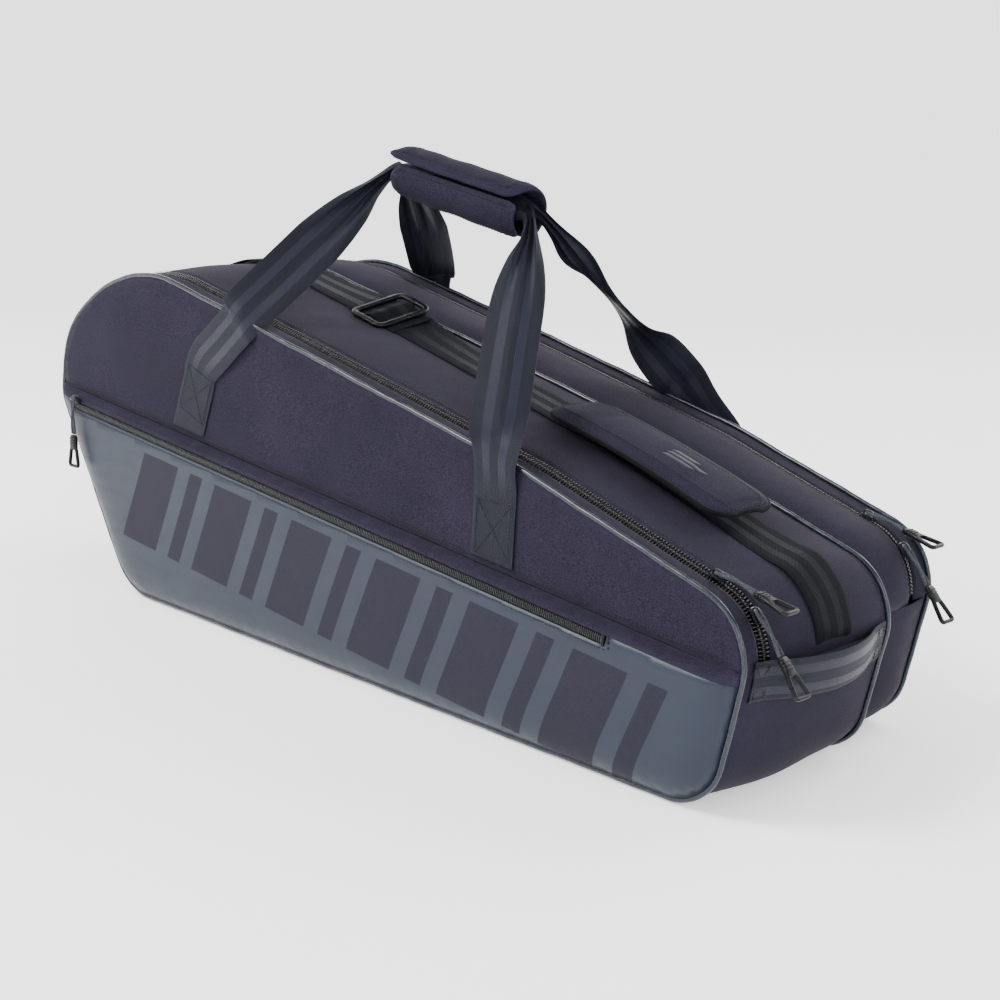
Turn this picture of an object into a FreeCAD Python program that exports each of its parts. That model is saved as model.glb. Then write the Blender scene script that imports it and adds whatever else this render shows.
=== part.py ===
import FreeCAD, Part

import math
import os

import Sketcher

# A six-racket tennis bag standing on its flat bottom.  +Z is up and +X runs along the bag from the
# big round end to the narrow end.  The front, with the flat pocket, faces -Y.  The body is two
# soft compartments side by side, each a teardrop outline pulled along Y, with a divider between.
# A seam line slopes down across the front and the back: above it the panel is a lid that folds
# outward when its zip is open, below it the panel is fixed.

DIMENSIONS = [
    # outline of the front compartment, seen from the front: corner points and their rounding
    ("bottom_right_x", 357), ("bottom_right_r", 41),
    ("top_right_x", 383.5), ("top_right_z", 128.5), ("top_right_r", 46),
    ("shoulder_x", 184), ("shoulder_z", 187.5), ("shoulder_r", 250),
    ("top_left_x", -276), ("top_left_z", 285), ("top_left_r", 160),
    ("left_upper_x", -371), ("left_upper_z", 214.5), ("left_upper_r", 71),
    ("left_lower_x", -377), ("left_lower_z", 156), ("left_lower_r", 24),
    ("bottom_left_x", -279), ("bottom_left_r", 54),
    # the rear compartment is a little shorter at the narrow end
    ("rear_shortening", 20),
    # depths along Y
    ("front_y", -123), ("centre_y", 39.5), ("rear_y", 123), ("zip_y", 101),
    ("piping_r", 3), ("wall", 3), ("seam_gap", 0.3), ("panel_in", 1), ("divider_wall", 1.6),
    ("overshoot", 1), ("contact_gap", 0.1),
    ("tooth_half", 3), ("tooth_rise", 0.8), ("tape_wall", 1), ("tape_width", 11), ("zip_split", 0.2),
    # the seam where each lid folds
    ("fold_left_x", -373), ("fold_left_z", 167), ("fold_right_x", 377), ("fold_right_z", 95),
    # front pocket
    ("pocket_gap", 6.5), ("pocket_wall", 2), ("pocket_zip_drop", 5), ("pocket_zip_wide", 7),
    ("pocket_zip_left", -346), ("pocket_zip_right", 275), ("pocket_zip_sunk", 0.6),
    ("base_board_wall", 2.5), ("base_board_start", 48.6), ("base_board_side", 6), ("base_board_seam", 4),
    # carry handles of 40 mm webbing: feet on the lids, then how each leg leaves its foot
    ("webbing_wide", 40), ("webbing_thick", 1.8), ("patch_face_y", 125.1), ("leg_face_y", 126.4),
    ("patch_left_x", -167), ("patch_left_z", 206), ("patch_left_lean", 20), ("patch_left_long", 52),
    ("patch_right_x", 163), ("patch_right_z", 170), ("patch_right_lean", 0), ("patch_right_long", 52),
    ("front_left_lean", 45), ("front_left_top_z", 266),
    ("front_right_lean", 0), ("front_right_top_z", 204),
    ("rear_left_lean", -9), ("rear_left_top_z", 275),
    ("rear_right_lean", -30), ("rear_right_top_z", 212),
    ("grip_x", -4), ("grip_z", 355), ("grip_tilt", 9.6), ("grip_long", 152), ("leg_top_wide", 15),
    ("leg_side", 9), ("wrap_long", 136), ("wrap_r", 20), ("wrap_wall", 5), ("slit_from", 50),
    ("slit_to", 80), ("lip_gap", 0.6), ("grip_wide", 19), ("grip_thick", 3.6), ("slit_angle", 58),
    ("grip_off", 2.3),
    # shoulder strap, its pad and its adjuster
    ("strap_wide", 40), ("strap_thick", 1.5), ("strap_rise", 0.8),
    ("strap_yaw", -3.5), ("strap_ref_x", 335), ("strap_ref_y", -29.5),
    ("strap_left_cut", -300), ("strap_right_cut", 343),
    ("pad_x", 207), ("pad_long", 196), ("pad_wide", 62), ("pad_thick", 14), ("pad_pitch", 14.3),
    ("pad_lift", 3), ("pad_corner_r", 18), ("pad_edge_r", 6), ("buckle_x", -82), ("buckle_long", 42), ("buckle_wide", 54),
    ("buckle_thick", 4.5), ("buckle_rim", 5), ("buckle_bar", 6), ("buckle_lift", 0.2),
    # grab handle on the narrow end
    ("grab_high", 27), ("grab_bow", 17), ("grab_z", 88), ("grab_from_y", -112), ("grab_to_y", 32),
    ("grab_x", 374.6), ("grab_patch", 16), ("grab_past", 2),
    # zip sliders and their pullers
    ("slider_long", 11), ("slider_wide", 7.6), ("slider_plate", 1.5), ("bridge_high", 3.9),
    ("bridge_wide", 1.6), ("bridge_beam", 1), ("bridge_post", 1.5), ("slider_gap", 0.3),
    ("cord_r", 0.9), ("cord_long", 32), ("cord_clear", 0.3), ("tab_long", 27), ("tab_wide", 14),
    ("tab_thick", 3), ("sleeve_long", 9), ("sleeve_wide", 8.6), ("sleeve_thick", 4.2), ("tab_rim", 2.7),
    ("slider_back", 8), ("slider_arc", 40), ("pocket_slider_x", -338),
    # where the part's own origin lies in the numbers above
    ("origin_x", 12.871), ("origin_y", -3.092), ("origin_z", -3),
]
BIG = 1200.0

doc = FreeCAD.newDocument("racket_bag")
sheet = doc.addObject("Spreadsheet::Sheet", "Sheet")
for row, (alias, value) in enumerate(DIMENSIONS, start=1):
    sheet.set("A%d" % row, alias)
    sheet.set("B%d" % row, str(value))
    sheet.setAlias("B%d" % row, alias)
doc.recompute()


def size(alias):
    """The value of one driving dimension."""
    return float(getattr(sheet, alias))


def bind(feature, **expressions):
    """Tie properties of a feature to expressions over the sheet's aliases."""
    for path, text in expressions.items():
        feature.setExpression(path.replace("__", "."), text)
    return feature


def make(kind, name):
    return doc.addObject(kind, name)


def boolean(kind, name, base, tool):
    feature = make("Part::" + kind, name)
    feature.Base = base
    feature.Tool = tool
    return feature


def fuse(name, shapes):
    feature = make("Part::MultiFuse", name)
    feature.Shapes = shapes
    return feature


# ---------------------------------------------------------------- outlines
def rounded_corner(before, corner, after, radius):
    """Tangent points and centre of the arc that rounds one corner."""
    toward = (before - corner).normalize()
    away = (after - corner).normalize()
    half = math.acos(toward.dot(away)) / 2
    reach = radius / math.tan(half)
    middle = (toward + away).normalize()
    return corner + toward * reach, corner + away * reach, corner + middle * (radius / math.sin(half))


def outline_sketch(name, corners):
    """A closed outline of lines and tangent arcs; corners are (x, z, radius) expressions."""
    values = [[float(sheet_value(text)) for text in corner] for corner in corners]
    points = [FreeCAD.Vector(x, z, 0) for x, z, _ in values]
    count = len(points)
    arcs = []
    for index, (x, z, radius) in enumerate(values):
        after = points[(index + 1) % count]
        arcs.append(rounded_corner(points[index - 1], points[index], after, radius))
    sketch = make("Sketcher::SketchObject", name)
    sketch.Placement.Rotation = FreeCAD.Rotation(FreeCAD.Vector(1, 0, 0), 90)
    for index in range(count):
        start, end, centre = arcs[index]
        radius = values[index][2]
        first = math.atan2(start.y - centre.y, start.x - centre.x)
        last = math.atan2(end.y - centre.y, end.x - centre.x)
        circle = Part.Circle(centre, FreeCAD.Vector(0, 0, 1), radius)
        sketch.addGeometry(Part.ArcOfCircle(circle, first, last), False)
        sketch.addGeometry(Part.LineSegment(end, arcs[(index + 1) % count][0]), False)
        sketch.addGeometry(Part.Point(points[index]), True)
    for index in range(count):
        arc, line, point = 3 * index, 3 * index + 1, 3 * index + 2
        previous_line = (line - 3) % (3 * count)
        sketch.addConstraint(Sketcher.Constraint("Tangent", previous_line, 2, arc, 1))
        sketch.addConstraint(Sketcher.Constraint("Tangent", arc, 2, line, 1))
        sketch.addConstraint(Sketcher.Constraint("PointOnObject", point, 1, line))
        sketch.addConstraint(Sketcher.Constraint("PointOnObject", point, 1, previous_line))
        place_and_size = (("DistanceX", -1, 1, point, 1), ("DistanceY", -1, 1, point, 1))
        for axis, constraint in enumerate(place_and_size):
            number = sketch.addConstraint(Sketcher.Constraint(*constraint, values[index][axis]))
            sketch.setExpression("Constraints[%d]" % number, corners[index][axis])
        number = sketch.addConstraint(Sketcher.Constraint("Radius", arc, values[index][2]))
        sketch.setExpression("Constraints[%d]" % number, corners[index][2])
    return sketch


def sheet_value(text):
    """The value of an expression such as Sheet.pad_x - Sheet.pad_long / 2."""
    return sheet.evalExpression(text)


def outline_corners(shortening):
    """Corner expressions, anticlockwise from the bottom right."""
    drop = "(Sheet.shoulder_z - Sheet.top_right_z) / (Sheet.top_right_x - Sheet.shoulder_x)"
    return [
        ("Sheet.bottom_right_x - " + shortening, "0", "Sheet.bottom_right_r"),
        ("Sheet.top_right_x - " + shortening,
         "Sheet.top_right_z + (" + shortening + ") * (" + drop + ")", "Sheet.top_right_r"),
        ("Sheet.shoulder_x", "Sheet.shoulder_z", "Sheet.shoulder_r"),
        ("Sheet.top_left_x", "Sheet.top_left_z", "Sheet.top_left_r"),
        ("Sheet.left_upper_x", "Sheet.left_upper_z", "Sheet.left_upper_r"),
        ("Sheet.left_lower_x", "Sheet.left_lower_z", "Sheet.left_lower_r"),
        ("Sheet.bottom_left_x", "0", "Sheet.bottom_left_r"),
    ]


front_outline = outline_sketch("front_outline", outline_corners("0 * Sheet.rear_shortening"))
rear_outline = outline_sketch("rear_outline", outline_corners("Sheet.rear_shortening"))
offset_outlines = {}


def offset_outline(outline, inset):
    """The outline moved inward by an expression; each inset is made once."""
    key = (outline.Name, inset)
    if key not in offset_outlines:
        moved = make("Part::Offset2D", "%s_inset_%d" % (outline.Name, len(offset_outlines)))
        moved.Source = outline
        moved.setExpression("Value", "-(" + inset + ")")
        offset_outlines[key] = moved
    return offset_outlines[key]


def slab(name, outline, inset, from_y, to_y):
    """The whole outline, moved inward and pulled from one Y to another."""
    feature = make("Part::Extrusion", name)
    feature.Base = offset_outline(outline, inset)
    feature.DirMode = "Custom"
    feature.Dir = FreeCAD.Vector(0, 1, 0)
    feature.Solid = True
    return bind(feature, LengthFwd=to_y, LengthRev="-(" + from_y + ")")


def band(name, outline, outer, inner, from_y, to_y):
    """A strip that runs round the outline between two insets."""
    whole = slab(name + "_outer", outline, outer, from_y, to_y)
    hollow = slab(name + "_inner", outline, inner, from_y, to_y)
    return boolean("Cut", name + "_band", whole, hollow)


# ---------------------------------------------------------------- the fold line
FOLD_SLOPE = "(Sheet.fold_left_z - Sheet.fold_right_z) / (Sheet.fold_right_x - Sheet.fold_left_x)"
fold_angle = math.degrees(math.atan(float(sheet_value(FOLD_SLOPE))))
fold_turn = FreeCAD.Rotation(FreeCAD.Vector(0, 1, 0), fold_angle)


def fold_z(x):
    """Height of the fold line at one x."""
    return size("fold_left_z") - float(sheet_value(FOLD_SLOPE)) * (x - size("fold_left_x"))


def half_space(name, above, drop=0.0):
    """A big block on one side of the fold line, lowered by drop."""
    block = make("Part::Box", name)
    block.Length = block.Width = block.Height = BIG
    gap = size("seam_gap") / 2
    lift = gap if above else -gap - BIG
    block.Placement.Rotation = fold_turn
    corner = FreeCAD.Vector(-BIG / 2, -BIG / 2, lift - drop)
    block.Placement.Base = FreeCAD.Vector(0, 0, fold_z(0)) + fold_turn.multVec(corner)
    return block


above_fold = half_space("above_fold", True)
below_fold = half_space("below_fold", False)
PIPE_IN = "Sheet.piping_r"
WALL_IN = "Sheet.piping_r + Sheet.wall"


def part_above(name, feature):
    return boolean("Common", name, feature, above_fold)


def part_below(name, feature):
    return boolean("Common", name, feature, below_fold)


# ---------------------------------------------------------------- panels, gussets and divider
def compartment(side, outline, sign, inner_y):
    """One compartment: panels, zip strips and gussets.  sign is -1 at the front, 1 at the rear."""
    mark = "-" if sign < 0 else ""
    face = "Sheet.%s_y" % side

    def across(near, far):
        """Order two distances from the middle, given as expressions, into a range along Y."""
        ends = (mark + "(" + near + ")", mark + "(" + far + ")")
        return ends if sign > 0 else (ends[1], ends[0])

    outer = ("-" if sign < 0 else "") + face
    panel = across(outer + " - Sheet.panel_in", outer + " - Sheet.panel_in + Sheet.wall")
    sheet_in = PIPE_IN + " + Sheet.seam_gap"
    made = {}
    made[side + "_lid_panel"] = part_above(
        side + "_lid_panel", slab(side + "_upper_sheet", outline, sheet_in, *panel))
    made[side + "_lower_panel"] = part_below(
        side + "_lower_panel", slab(side + "_lower_sheet", outline, sheet_in, *panel))
    strip = across("Sheet.zip_y + Sheet.tooth_half + Sheet.seam_gap + Sheet.zip_split",
                   outer + " - Sheet.panel_in - Sheet.seam_gap")
    made[side + "_lid_strip"] = part_above(
        side + "_lid_strip", band(side + "_strip", outline, PIPE_IN, WALL_IN, *strip))
    zip_edge = "Sheet.zip_y - Sheet.tooth_half - Sheet.seam_gap - Sheet.zip_split"
    top = sorted_range(mark + "(" + zip_edge + ")", inner_y)
    made[side + "_top_gusset"] = part_above(
        side + "_top_gusset", band(side + "_top", outline, PIPE_IN, WALL_IN, *top))
    floor = sorted_range(mark + "(" + outer + " - Sheet.panel_in - Sheet.seam_gap)", inner_y)
    made[side + "_bottom_gusset"] = part_below(
        side + "_bottom_gusset", band(side + "_floor", outline, PIPE_IN, WALL_IN, *floor))
    made.update(zip_halves(side, outline, across))
    return made


def sorted_range(first, second):
    """Two Y expressions in rising order."""
    return (first, second) if float(sheet_value(first)) < float(sheet_value(second)) else (second, first)


def zip_halves(side, outline, across):
    """The two rows of teeth with their tapes: one on the lid, one on the gusset."""
    tooth_out = PIPE_IN + " - Sheet.tooth_rise"
    tape_out = WALL_IN + " + Sheet.zip_split"
    tape_in = tape_out + " + Sheet.tape_wall"
    centre = "Sheet.zip_y"
    made = {}
    ranges = {
        "lid": (centre + " + Sheet.zip_split", centre + " + Sheet.zip_split + Sheet.tooth_half",
                centre + " + Sheet.zip_split + Sheet.tape_width"),
        "body": (centre + " - Sheet.zip_split", centre + " - Sheet.zip_split - Sheet.tooth_half",
                 centre + " - Sheet.zip_split - Sheet.tape_width"),
    }
    for place, (middle, tooth_edge, tape_edge) in ranges.items():
        stem = "%s_zip_%s" % (side, place)
        teeth_y = sorted_range(*across(middle, tooth_edge))
        tape_y = sorted_range(*across(middle, tape_edge))
        teeth = band(stem + "_teeth", outline, tooth_out, tape_out, *teeth_y)
        tape = band(stem + "_tape", outline, tape_out, tape_in, *tape_y)
        made[stem] = part_above(stem, fuse(stem + "_rows", [teeth, tape]))
    return made


pieces = {}
DIVIDER_FROM = "Sheet.centre_y - Sheet.divider_wall / 2"
DIVIDER_TO = "Sheet.centre_y + Sheet.divider_wall / 2"
pieces.update(compartment("front", front_outline, -1, DIVIDER_FROM + " - Sheet.seam_gap"))
pieces.update(compartment("rear", rear_outline, 1, DIVIDER_TO + " + Sheet.seam_gap"))
pieces["divider"] = slab("divider", front_outline, PIPE_IN + " + Sheet.seam_gap",
                         DIVIDER_FROM, DIVIDER_TO)


# ---------------------------------------------------------------- piping
def piping(name, outline, at_y):
    """A round cord sewn along the whole outline at one Y."""
    section = make("Part::Circle", name + "_section")
    bind(section, Radius="Sheet.piping_r")
    first_edge = outline.Shape.Wires[0].OrderedEdges[0]
    start = outline.Shape.Wires[0].OrderedVertexes[0].Point
    tangent = first_edge.tangentAt(first_edge.getParameterByLength(0))
    section.Placement = FreeCAD.Placement(start, FreeCAD.Rotation(FreeCAD.Vector(0, 0, 1), tangent))
    tube = make("Part::Sweep", name + "_tube")
    tube.Sections = [section]
    tube.Spine = (outline, [])
    tube.Solid = True
    tube.Frenet = False
    tube.setExpression("Placement.Base.y", at_y)
    return tube


doc.recompute()
front_tube = piping("front_piping", front_outline, "Sheet.front_y")
rear_tube = piping("rear_piping", rear_outline, "Sheet.rear_y")
pieces["front_lid_piping"] = part_above("front_lid_piping", front_tube)
pieces["front_lower_piping"] = part_below("front_lower_piping", front_tube)
pieces["rear_lid_piping"] = part_above("rear_lid_piping", rear_tube)
pieces["rear_lower_piping"] = part_below("rear_lower_piping", rear_tube)
pieces["centre_piping"] = piping("centre_piping", front_outline, "Sheet.centre_y")


# ---------------------------------------------------------------- front pocket
def pocket():
    """A shallow tray over the front's lower panel, open only towards that panel."""
    inside = "Sheet.front_y + Sheet.panel_in - Sheet.wall - Sheet.seam_gap"
    front = inside + " - Sheet.pocket_gap - Sheet.pocket_wall"
    inset = PIPE_IN + " + Sheet.seam_gap"
    whole = slab("pocket_whole", front_outline, inset, front, inside)
    hollow = slab("pocket_hollow", front_outline, inset + " + Sheet.pocket_wall",
                  front + " + Sheet.pocket_wall", inside + " + Sheet.overshoot")
    low = half_space("below_pocket_zip", False, size("pocket_zip_drop") + size("pocket_zip_wide") / 2)
    low_inner = half_space("below_pocket_hem", False,
                           size("pocket_zip_drop") + size("pocket_zip_wide") / 2 + size("pocket_wall"))
    tray = boolean("Common", "pocket_solid", whole, low)
    core = boolean("Common", "pocket_core", hollow, low_inner)
    return boolean("Cut", "pocket_front", tray, core)


def pocket_zip():
    """The straight zip along the pocket's top edge."""
    strip = bind(make("Part::Box", "pocket_zip"),
                 Length="(Sheet.pocket_zip_right - Sheet.pocket_zip_left)",
                 Width="Sheet.pocket_wall + Sheet.pocket_zip_sunk", Height="Sheet.pocket_zip_wide - 2 * Sheet.seam_gap")
    left = size("pocket_zip_left")
    drop = size("pocket_zip_drop") + size("pocket_zip_wide") / 2 - size("seam_gap")
    strip.Placement = FreeCAD.Placement(
        FreeCAD.Vector(left, pocket_face() - size("pocket_zip_sunk"), fold_z(left) - drop), fold_turn)
    return strip


def pocket_face():
    """Y of the pocket's outer face."""
    return (size("front_y") + size("panel_in") - size("wall") - size("seam_gap") - size("pocket_gap")
            - size("pocket_wall"))


pieces["pocket_front"] = pocket()
pieces["pocket_zip"] = pocket_zip()


# ---------------------------------------------------------------- stiffener boards in the bottom
def base_board(side, from_y, to_y):
    board = bind(make("Part::Box", side + "_base_board"),
                 Length="Sheet.bottom_right_x - Sheet.bottom_left_x - 2 * Sheet.bottom_left_r",
                 Width="(" + to_y + ") - (" + from_y + ")", Height="Sheet.base_board_wall")
    board.setExpression("Placement.Base.x", "Sheet.bottom_left_x + Sheet.base_board_start")
    board.setExpression("Placement.Base.y", from_y)
    board.setExpression("Placement.Base.z", WALL_IN + " + Sheet.seam_gap")
    return board


pieces["front_base_board"] = base_board("front", "Sheet.front_y + Sheet.base_board_side",
                                        "Sheet.centre_y - Sheet.base_board_seam")
pieces["rear_base_board"] = base_board("rear", "Sheet.centre_y + Sheet.base_board_seam",
                                       "Sheet.rear_y - Sheet.base_board_side")


# ---------------------------------------------------------------- carry handles
UP = FreeCAD.Vector(0, 0, 1)


def frame_rotation(along, toward):
    """Rotation whose local X runs along one vector and whose local Z leans toward another."""
    x_axis = FreeCAD.Vector(along).normalize()
    y_axis = toward.cross(x_axis).normalize()
    return FreeCAD.Rotation(x_axis, y_axis, x_axis.cross(y_axis), "XYZ")


grip_turn = FreeCAD.Rotation(FreeCAD.Vector(0, 1, 0), size("grip_tilt"))
grip_centre = FreeCAD.Vector(size("grip_x"), 0, size("grip_z"))


def grip_point(along):
    """A point on the grip's centre line."""
    return grip_centre + grip_turn.multVec(FreeCAD.Vector(along, 0, 0))


FEET_APART = size("patch_right_x") - size("patch_left_x")
FEET_DROP = size("patch_left_z") - size("patch_right_z")
hinge_turn = FreeCAD.Rotation(FreeCAD.Vector(0, 1, 0), math.degrees(math.atan(FEET_DROP / FEET_APART)))
HINGE_ALLOWANCE = 16.0


def hinge_block(name, above):
    """A big block above or below the line through the feet of both legs, where the webbing bends."""
    block = make("Part::Box", name)
    block.Length = block.Width = block.Height = BIG
    foot = FreeCAD.Vector(size("patch_left_x"), 0, size("patch_left_z"))
    corner = FreeCAD.Vector(-BIG / 2, -BIG / 2, 0 if above else -BIG - size("seam_gap"))
    block.Placement = FreeCAD.Placement(foot + hinge_turn.multVec(corner), hinge_turn)
    return block


above_hinge = hinge_block("above_hinge", True)
below_hinge = hinge_block("below_hinge", False)


def handle_patch(side, hand, sign):
    """The flat end of a handle's webbing, box-stitched to the lid."""
    name = "%s_patch_%s" % (side, hand)
    patch = bind(make("Part::Box", name + "_strip"), Length="Sheet.webbing_wide",
                 Width="Sheet.webbing_thick")
    patch.Height = size("patch_%s_long" % hand) + HINGE_ALLOWANCE
    lean = FreeCAD.Rotation(FreeCAD.Vector(0, 1, 0), size("patch_%s_lean" % hand))
    top = FreeCAD.Vector(size("patch_%s_x" % hand), 0, size("patch_%s_z" % hand))
    near = sign * size("patch_face_y")
    shift = FreeCAD.Vector(-size("webbing_wide") / 2, 0, -size("patch_%s_long" % hand))
    base = top + lean.multVec(shift)
    base.y = near if sign > 0 else near - size("webbing_thick")
    patch.Placement = FreeCAD.Placement(base, lean)
    return boolean("Common", name, patch, below_hinge)


def handle_leg(side, hand, sign):
    """Webbing from the stitched patch up over the piping, then in to the grip."""
    stem = "%s_leg_%s" % (side, hand)
    low_top = size("%s_%s_top_z" % (side, hand))
    foot_x, foot_z = size("patch_%s_x" % hand), size("patch_%s_z" % hand)
    lean = math.radians(size("%s_%s_lean" % (side, hand)))
    knee_x = foot_x + math.tan(lean) * (low_top - foot_z)
    near = sign * size("leg_face_y")
    lower = bind(make("Part::Box", stem + "_lower"), Length="Sheet.webbing_wide",
                 Width="Sheet.webbing_thick")
    rise = (low_top - foot_z) / math.cos(lean)
    lower.Height = rise + HINGE_ALLOWANCE
    turn = FreeCAD.Rotation(FreeCAD.Vector(0, 1, 0), math.degrees(lean))
    base = FreeCAD.Vector(foot_x, 0, foot_z) + turn.multVec(
        FreeCAD.Vector(-size("webbing_wide") / 2, 0, -HINGE_ALLOWANCE))
    base.y = near if sign > 0 else near - size("webbing_thick")
    lower.Placement = FreeCAD.Placement(base, turn)
    knee = FreeCAD.Vector(knee_x, near + sign * size("webbing_thick") / 2,
                          low_top - size("overshoot"))
    end = grip_point(size("grip_long") / 2 * (-1 if hand == "left" else 1))
    end.y = sign * size("leg_side")
    cut = boolean("Common", stem + "_cut", lower, above_hinge)
    return fuse(stem, [cut, tapered_leg(stem + "_upper", knee, end)])


def tapered_leg(name, start, end):
    """A flat strip that narrows from the webbing's width to the folded width at the grip."""
    strip = make("Part::Wedge", name)
    length = (end - start).Length
    for prefix, half in (("X", "Sheet.webbing_wide / 2"), ("X2", "Sheet.leg_top_wide / 2")):
        strip.setExpression(prefix + "min", "-" + half)
        strip.setExpression(prefix + "max", half)
    for prefix in ("Z", "Z2"):
        strip.setExpression(prefix + "min", "-Sheet.webbing_thick / 2")
        strip.setExpression(prefix + "max", "Sheet.webbing_thick / 2")
    strip.Ymin = 0
    strip.Ymax = length
    along = (end - start).normalize()
    across = FreeCAD.Vector(1, 0, 0) - along * along.x
    strip.Placement = FreeCAD.Placement(
        start, FreeCAD.Rotation(across, along, across.cross(along), "YXZ"))
    return strip


def section_turn(angle):
    """Rotation of a piece drawn along local Z so that it follows the grip; the angle is measured
    from straight up toward the front."""
    along = grip_turn.multVec(FreeCAD.Vector(1, 0, 0))
    upward = grip_turn.multVec(FreeCAD.Vector(0, 0, 1))
    base = FreeCAD.Rotation(upward, along.cross(upward), along, "ZXY")
    return base.multiply(FreeCAD.Rotation(FreeCAD.Vector(0, 0, 1), angle))


def folded_grip(side, sign):
    """The webbing inside the wrap, folded to half its width."""
    grip = bind(make("Part::Box", side + "_grip"), Length="Sheet.grip_wide",
                Width="Sheet.grip_thick", Height="Sheet.grip_long - 2 * Sheet.seam_gap")
    turn = section_turn(size("slit_angle"))
    offset = FreeCAD.Vector(-size("grip_wide") / 2, -size("grip_thick") / 2 - sign * size("grip_off"),
                            -size("grip_long") / 2 + size("seam_gap"))
    grip.Placement = FreeCAD.Placement(grip_centre + turn.multVec(offset), turn)
    return grip


def wrap_sector(name, start, sweep):
    """Part of the padded tube round both grips."""
    shells = []
    for suffix, radius in (("_outside", "Sheet.wrap_r"), ("_bore", "Sheet.wrap_r - Sheet.wrap_wall")):
        shell = bind(make("Part::Cylinder", name + suffix), Radius=radius, Height="Sheet.wrap_long",
                     Angle=sweep)
        shells.append(shell)
    sector = boolean("Cut", name, *shells)
    turn = section_turn(float(sheet_value(start)))
    shift = FreeCAD.Vector(0, 0, -size("wrap_long") / 2)
    sector.Placement = FreeCAD.Placement(grip_centre + turn.multVec(shift), turn)
    return sector


for side, sign in (("front", -1), ("rear", 1)):
    for hand in ("left", "right"):
        pieces["%s_patch_%s" % (side, hand)] = handle_patch(side, hand, sign)
        pieces["%s_leg_%s" % (side, hand)] = handle_leg(side, hand, sign)
    pieces[side + "_grip"] = folded_grip(side, sign)
pieces["handle_wrap"] = wrap_sector("handle_wrap", "180 + Sheet.lip_gap",
                                    "180 - Sheet.lip_gap + Sheet.slit_from")
pieces["handle_wrap_flap"] = wrap_sector("handle_wrap_flap", "Sheet.slit_to",
                                         "180 - Sheet.lip_gap - Sheet.slit_to")


# ---------------------------------------------------------------- shoulder strap
strap_turn = FreeCAD.Rotation(FreeCAD.Vector(0, 0, 1), size("strap_yaw"))


def strap_y(x):
    """Y of the strap's centre line, which crosses the top at a small angle."""
    return size("strap_ref_y") + (x - size("strap_ref_x")) * math.tan(math.radians(size("strap_yaw")))


def top_z(x):
    """Height of the outline's straight top between the shoulder and the round end."""
    slope = (size("top_left_z") - size("shoulder_z")) / (size("shoulder_x") - size("top_left_x"))
    return size("shoulder_z") + (size("shoulder_x") - x) * slope


def strap_block(name, from_x, to_x):
    """The strap's outline from above over a stretch of X, as a tall block."""
    block = bind(make("Part::Box", name), Width="Sheet.strap_wide", Height=str(BIG))
    block.Length = (to_x - from_x) / math.cos(math.radians(size("strap_yaw")))
    corner = strap_turn.multVec(FreeCAD.Vector(0, -size("strap_wide") / 2, 0))
    block.Placement = FreeCAD.Placement(FreeCAD.Vector(from_x, strap_y(from_x), 0) + corner, strap_turn)
    return block


def strap_pieces():
    """The webbing over the top, and its two ends that run down to the seams."""
    inner = PIPE_IN + " - Sheet.strap_rise"
    loop = band("strap_loop", front_outline, inner + " - Sheet.strap_thick", inner,
                "-Sheet.zip_y + Sheet.tape_width", "Sheet.zip_y - Sheet.tape_width")
    loop = part_above("strap_loop_upper", loop)
    left, right = size("strap_left_cut"), size("strap_right_cut")
    gap = size("seam_gap")
    spans = {"strap_end_left": (-BIG / 2, left - gap), "strap_webbing": (left, right),
             "strap_end_right": (right + gap, BIG / 2)}
    return {name: boolean("Common", name, loop, strap_block(name + "_block", *span))
            for name, span in spans.items()}


def on_strap(x, lift, pitch):
    """Placement of a piece that lies over the strap, centred on it, local X along the strap."""
    turn = strap_turn.multiply(FreeCAD.Rotation(FreeCAD.Vector(0, 1, 0), pitch))
    up = turn.multVec(UP)
    return FreeCAD.Placement(FreeCAD.Vector(x, strap_y(x), top_z(x)) + up * lift, turn)


def centred(placement, x, y, z=0.0):
    """The placement moved in its own axes."""
    return FreeCAD.Placement(placement.multVec(FreeCAD.Vector(x, y, z)), placement.Rotation)


def shoulder_pad():
    """A long cushion with rounded edges that rides on top of the webbing."""
    block = bind(make("Part::Box", "pad_block"), Length="Sheet.pad_long", Width="Sheet.pad_wide",
                 Height="Sheet.pad_thick")
    doc.recompute()
    rounded = make("Part::Fillet", "shoulder_pad")
    rounded.Base = block
    upright = [index for index, edge in enumerate(block.Shape.Edges, start=1)
               if abs(edge.tangentAt(edge.FirstParameter).z) > 0.9]
    top = [index for index, edge in enumerate(block.Shape.Edges, start=1)
           if edge.BoundBox.ZMin > size("pad_thick") - size("contact_gap")]
    corner_r, edge_r = size("pad_corner_r"), size("pad_edge_r")
    rounded.Edges = ([(index, corner_r, corner_r) for index in upright]
                     + [(index, edge_r, edge_r) for index in top])
    place = on_strap(size("pad_x"), size("pad_lift"), size("pad_pitch"))
    rounded.Placement = centred(place, -size("pad_long") / 2, -size("pad_wide") / 2)
    return rounded


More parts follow.
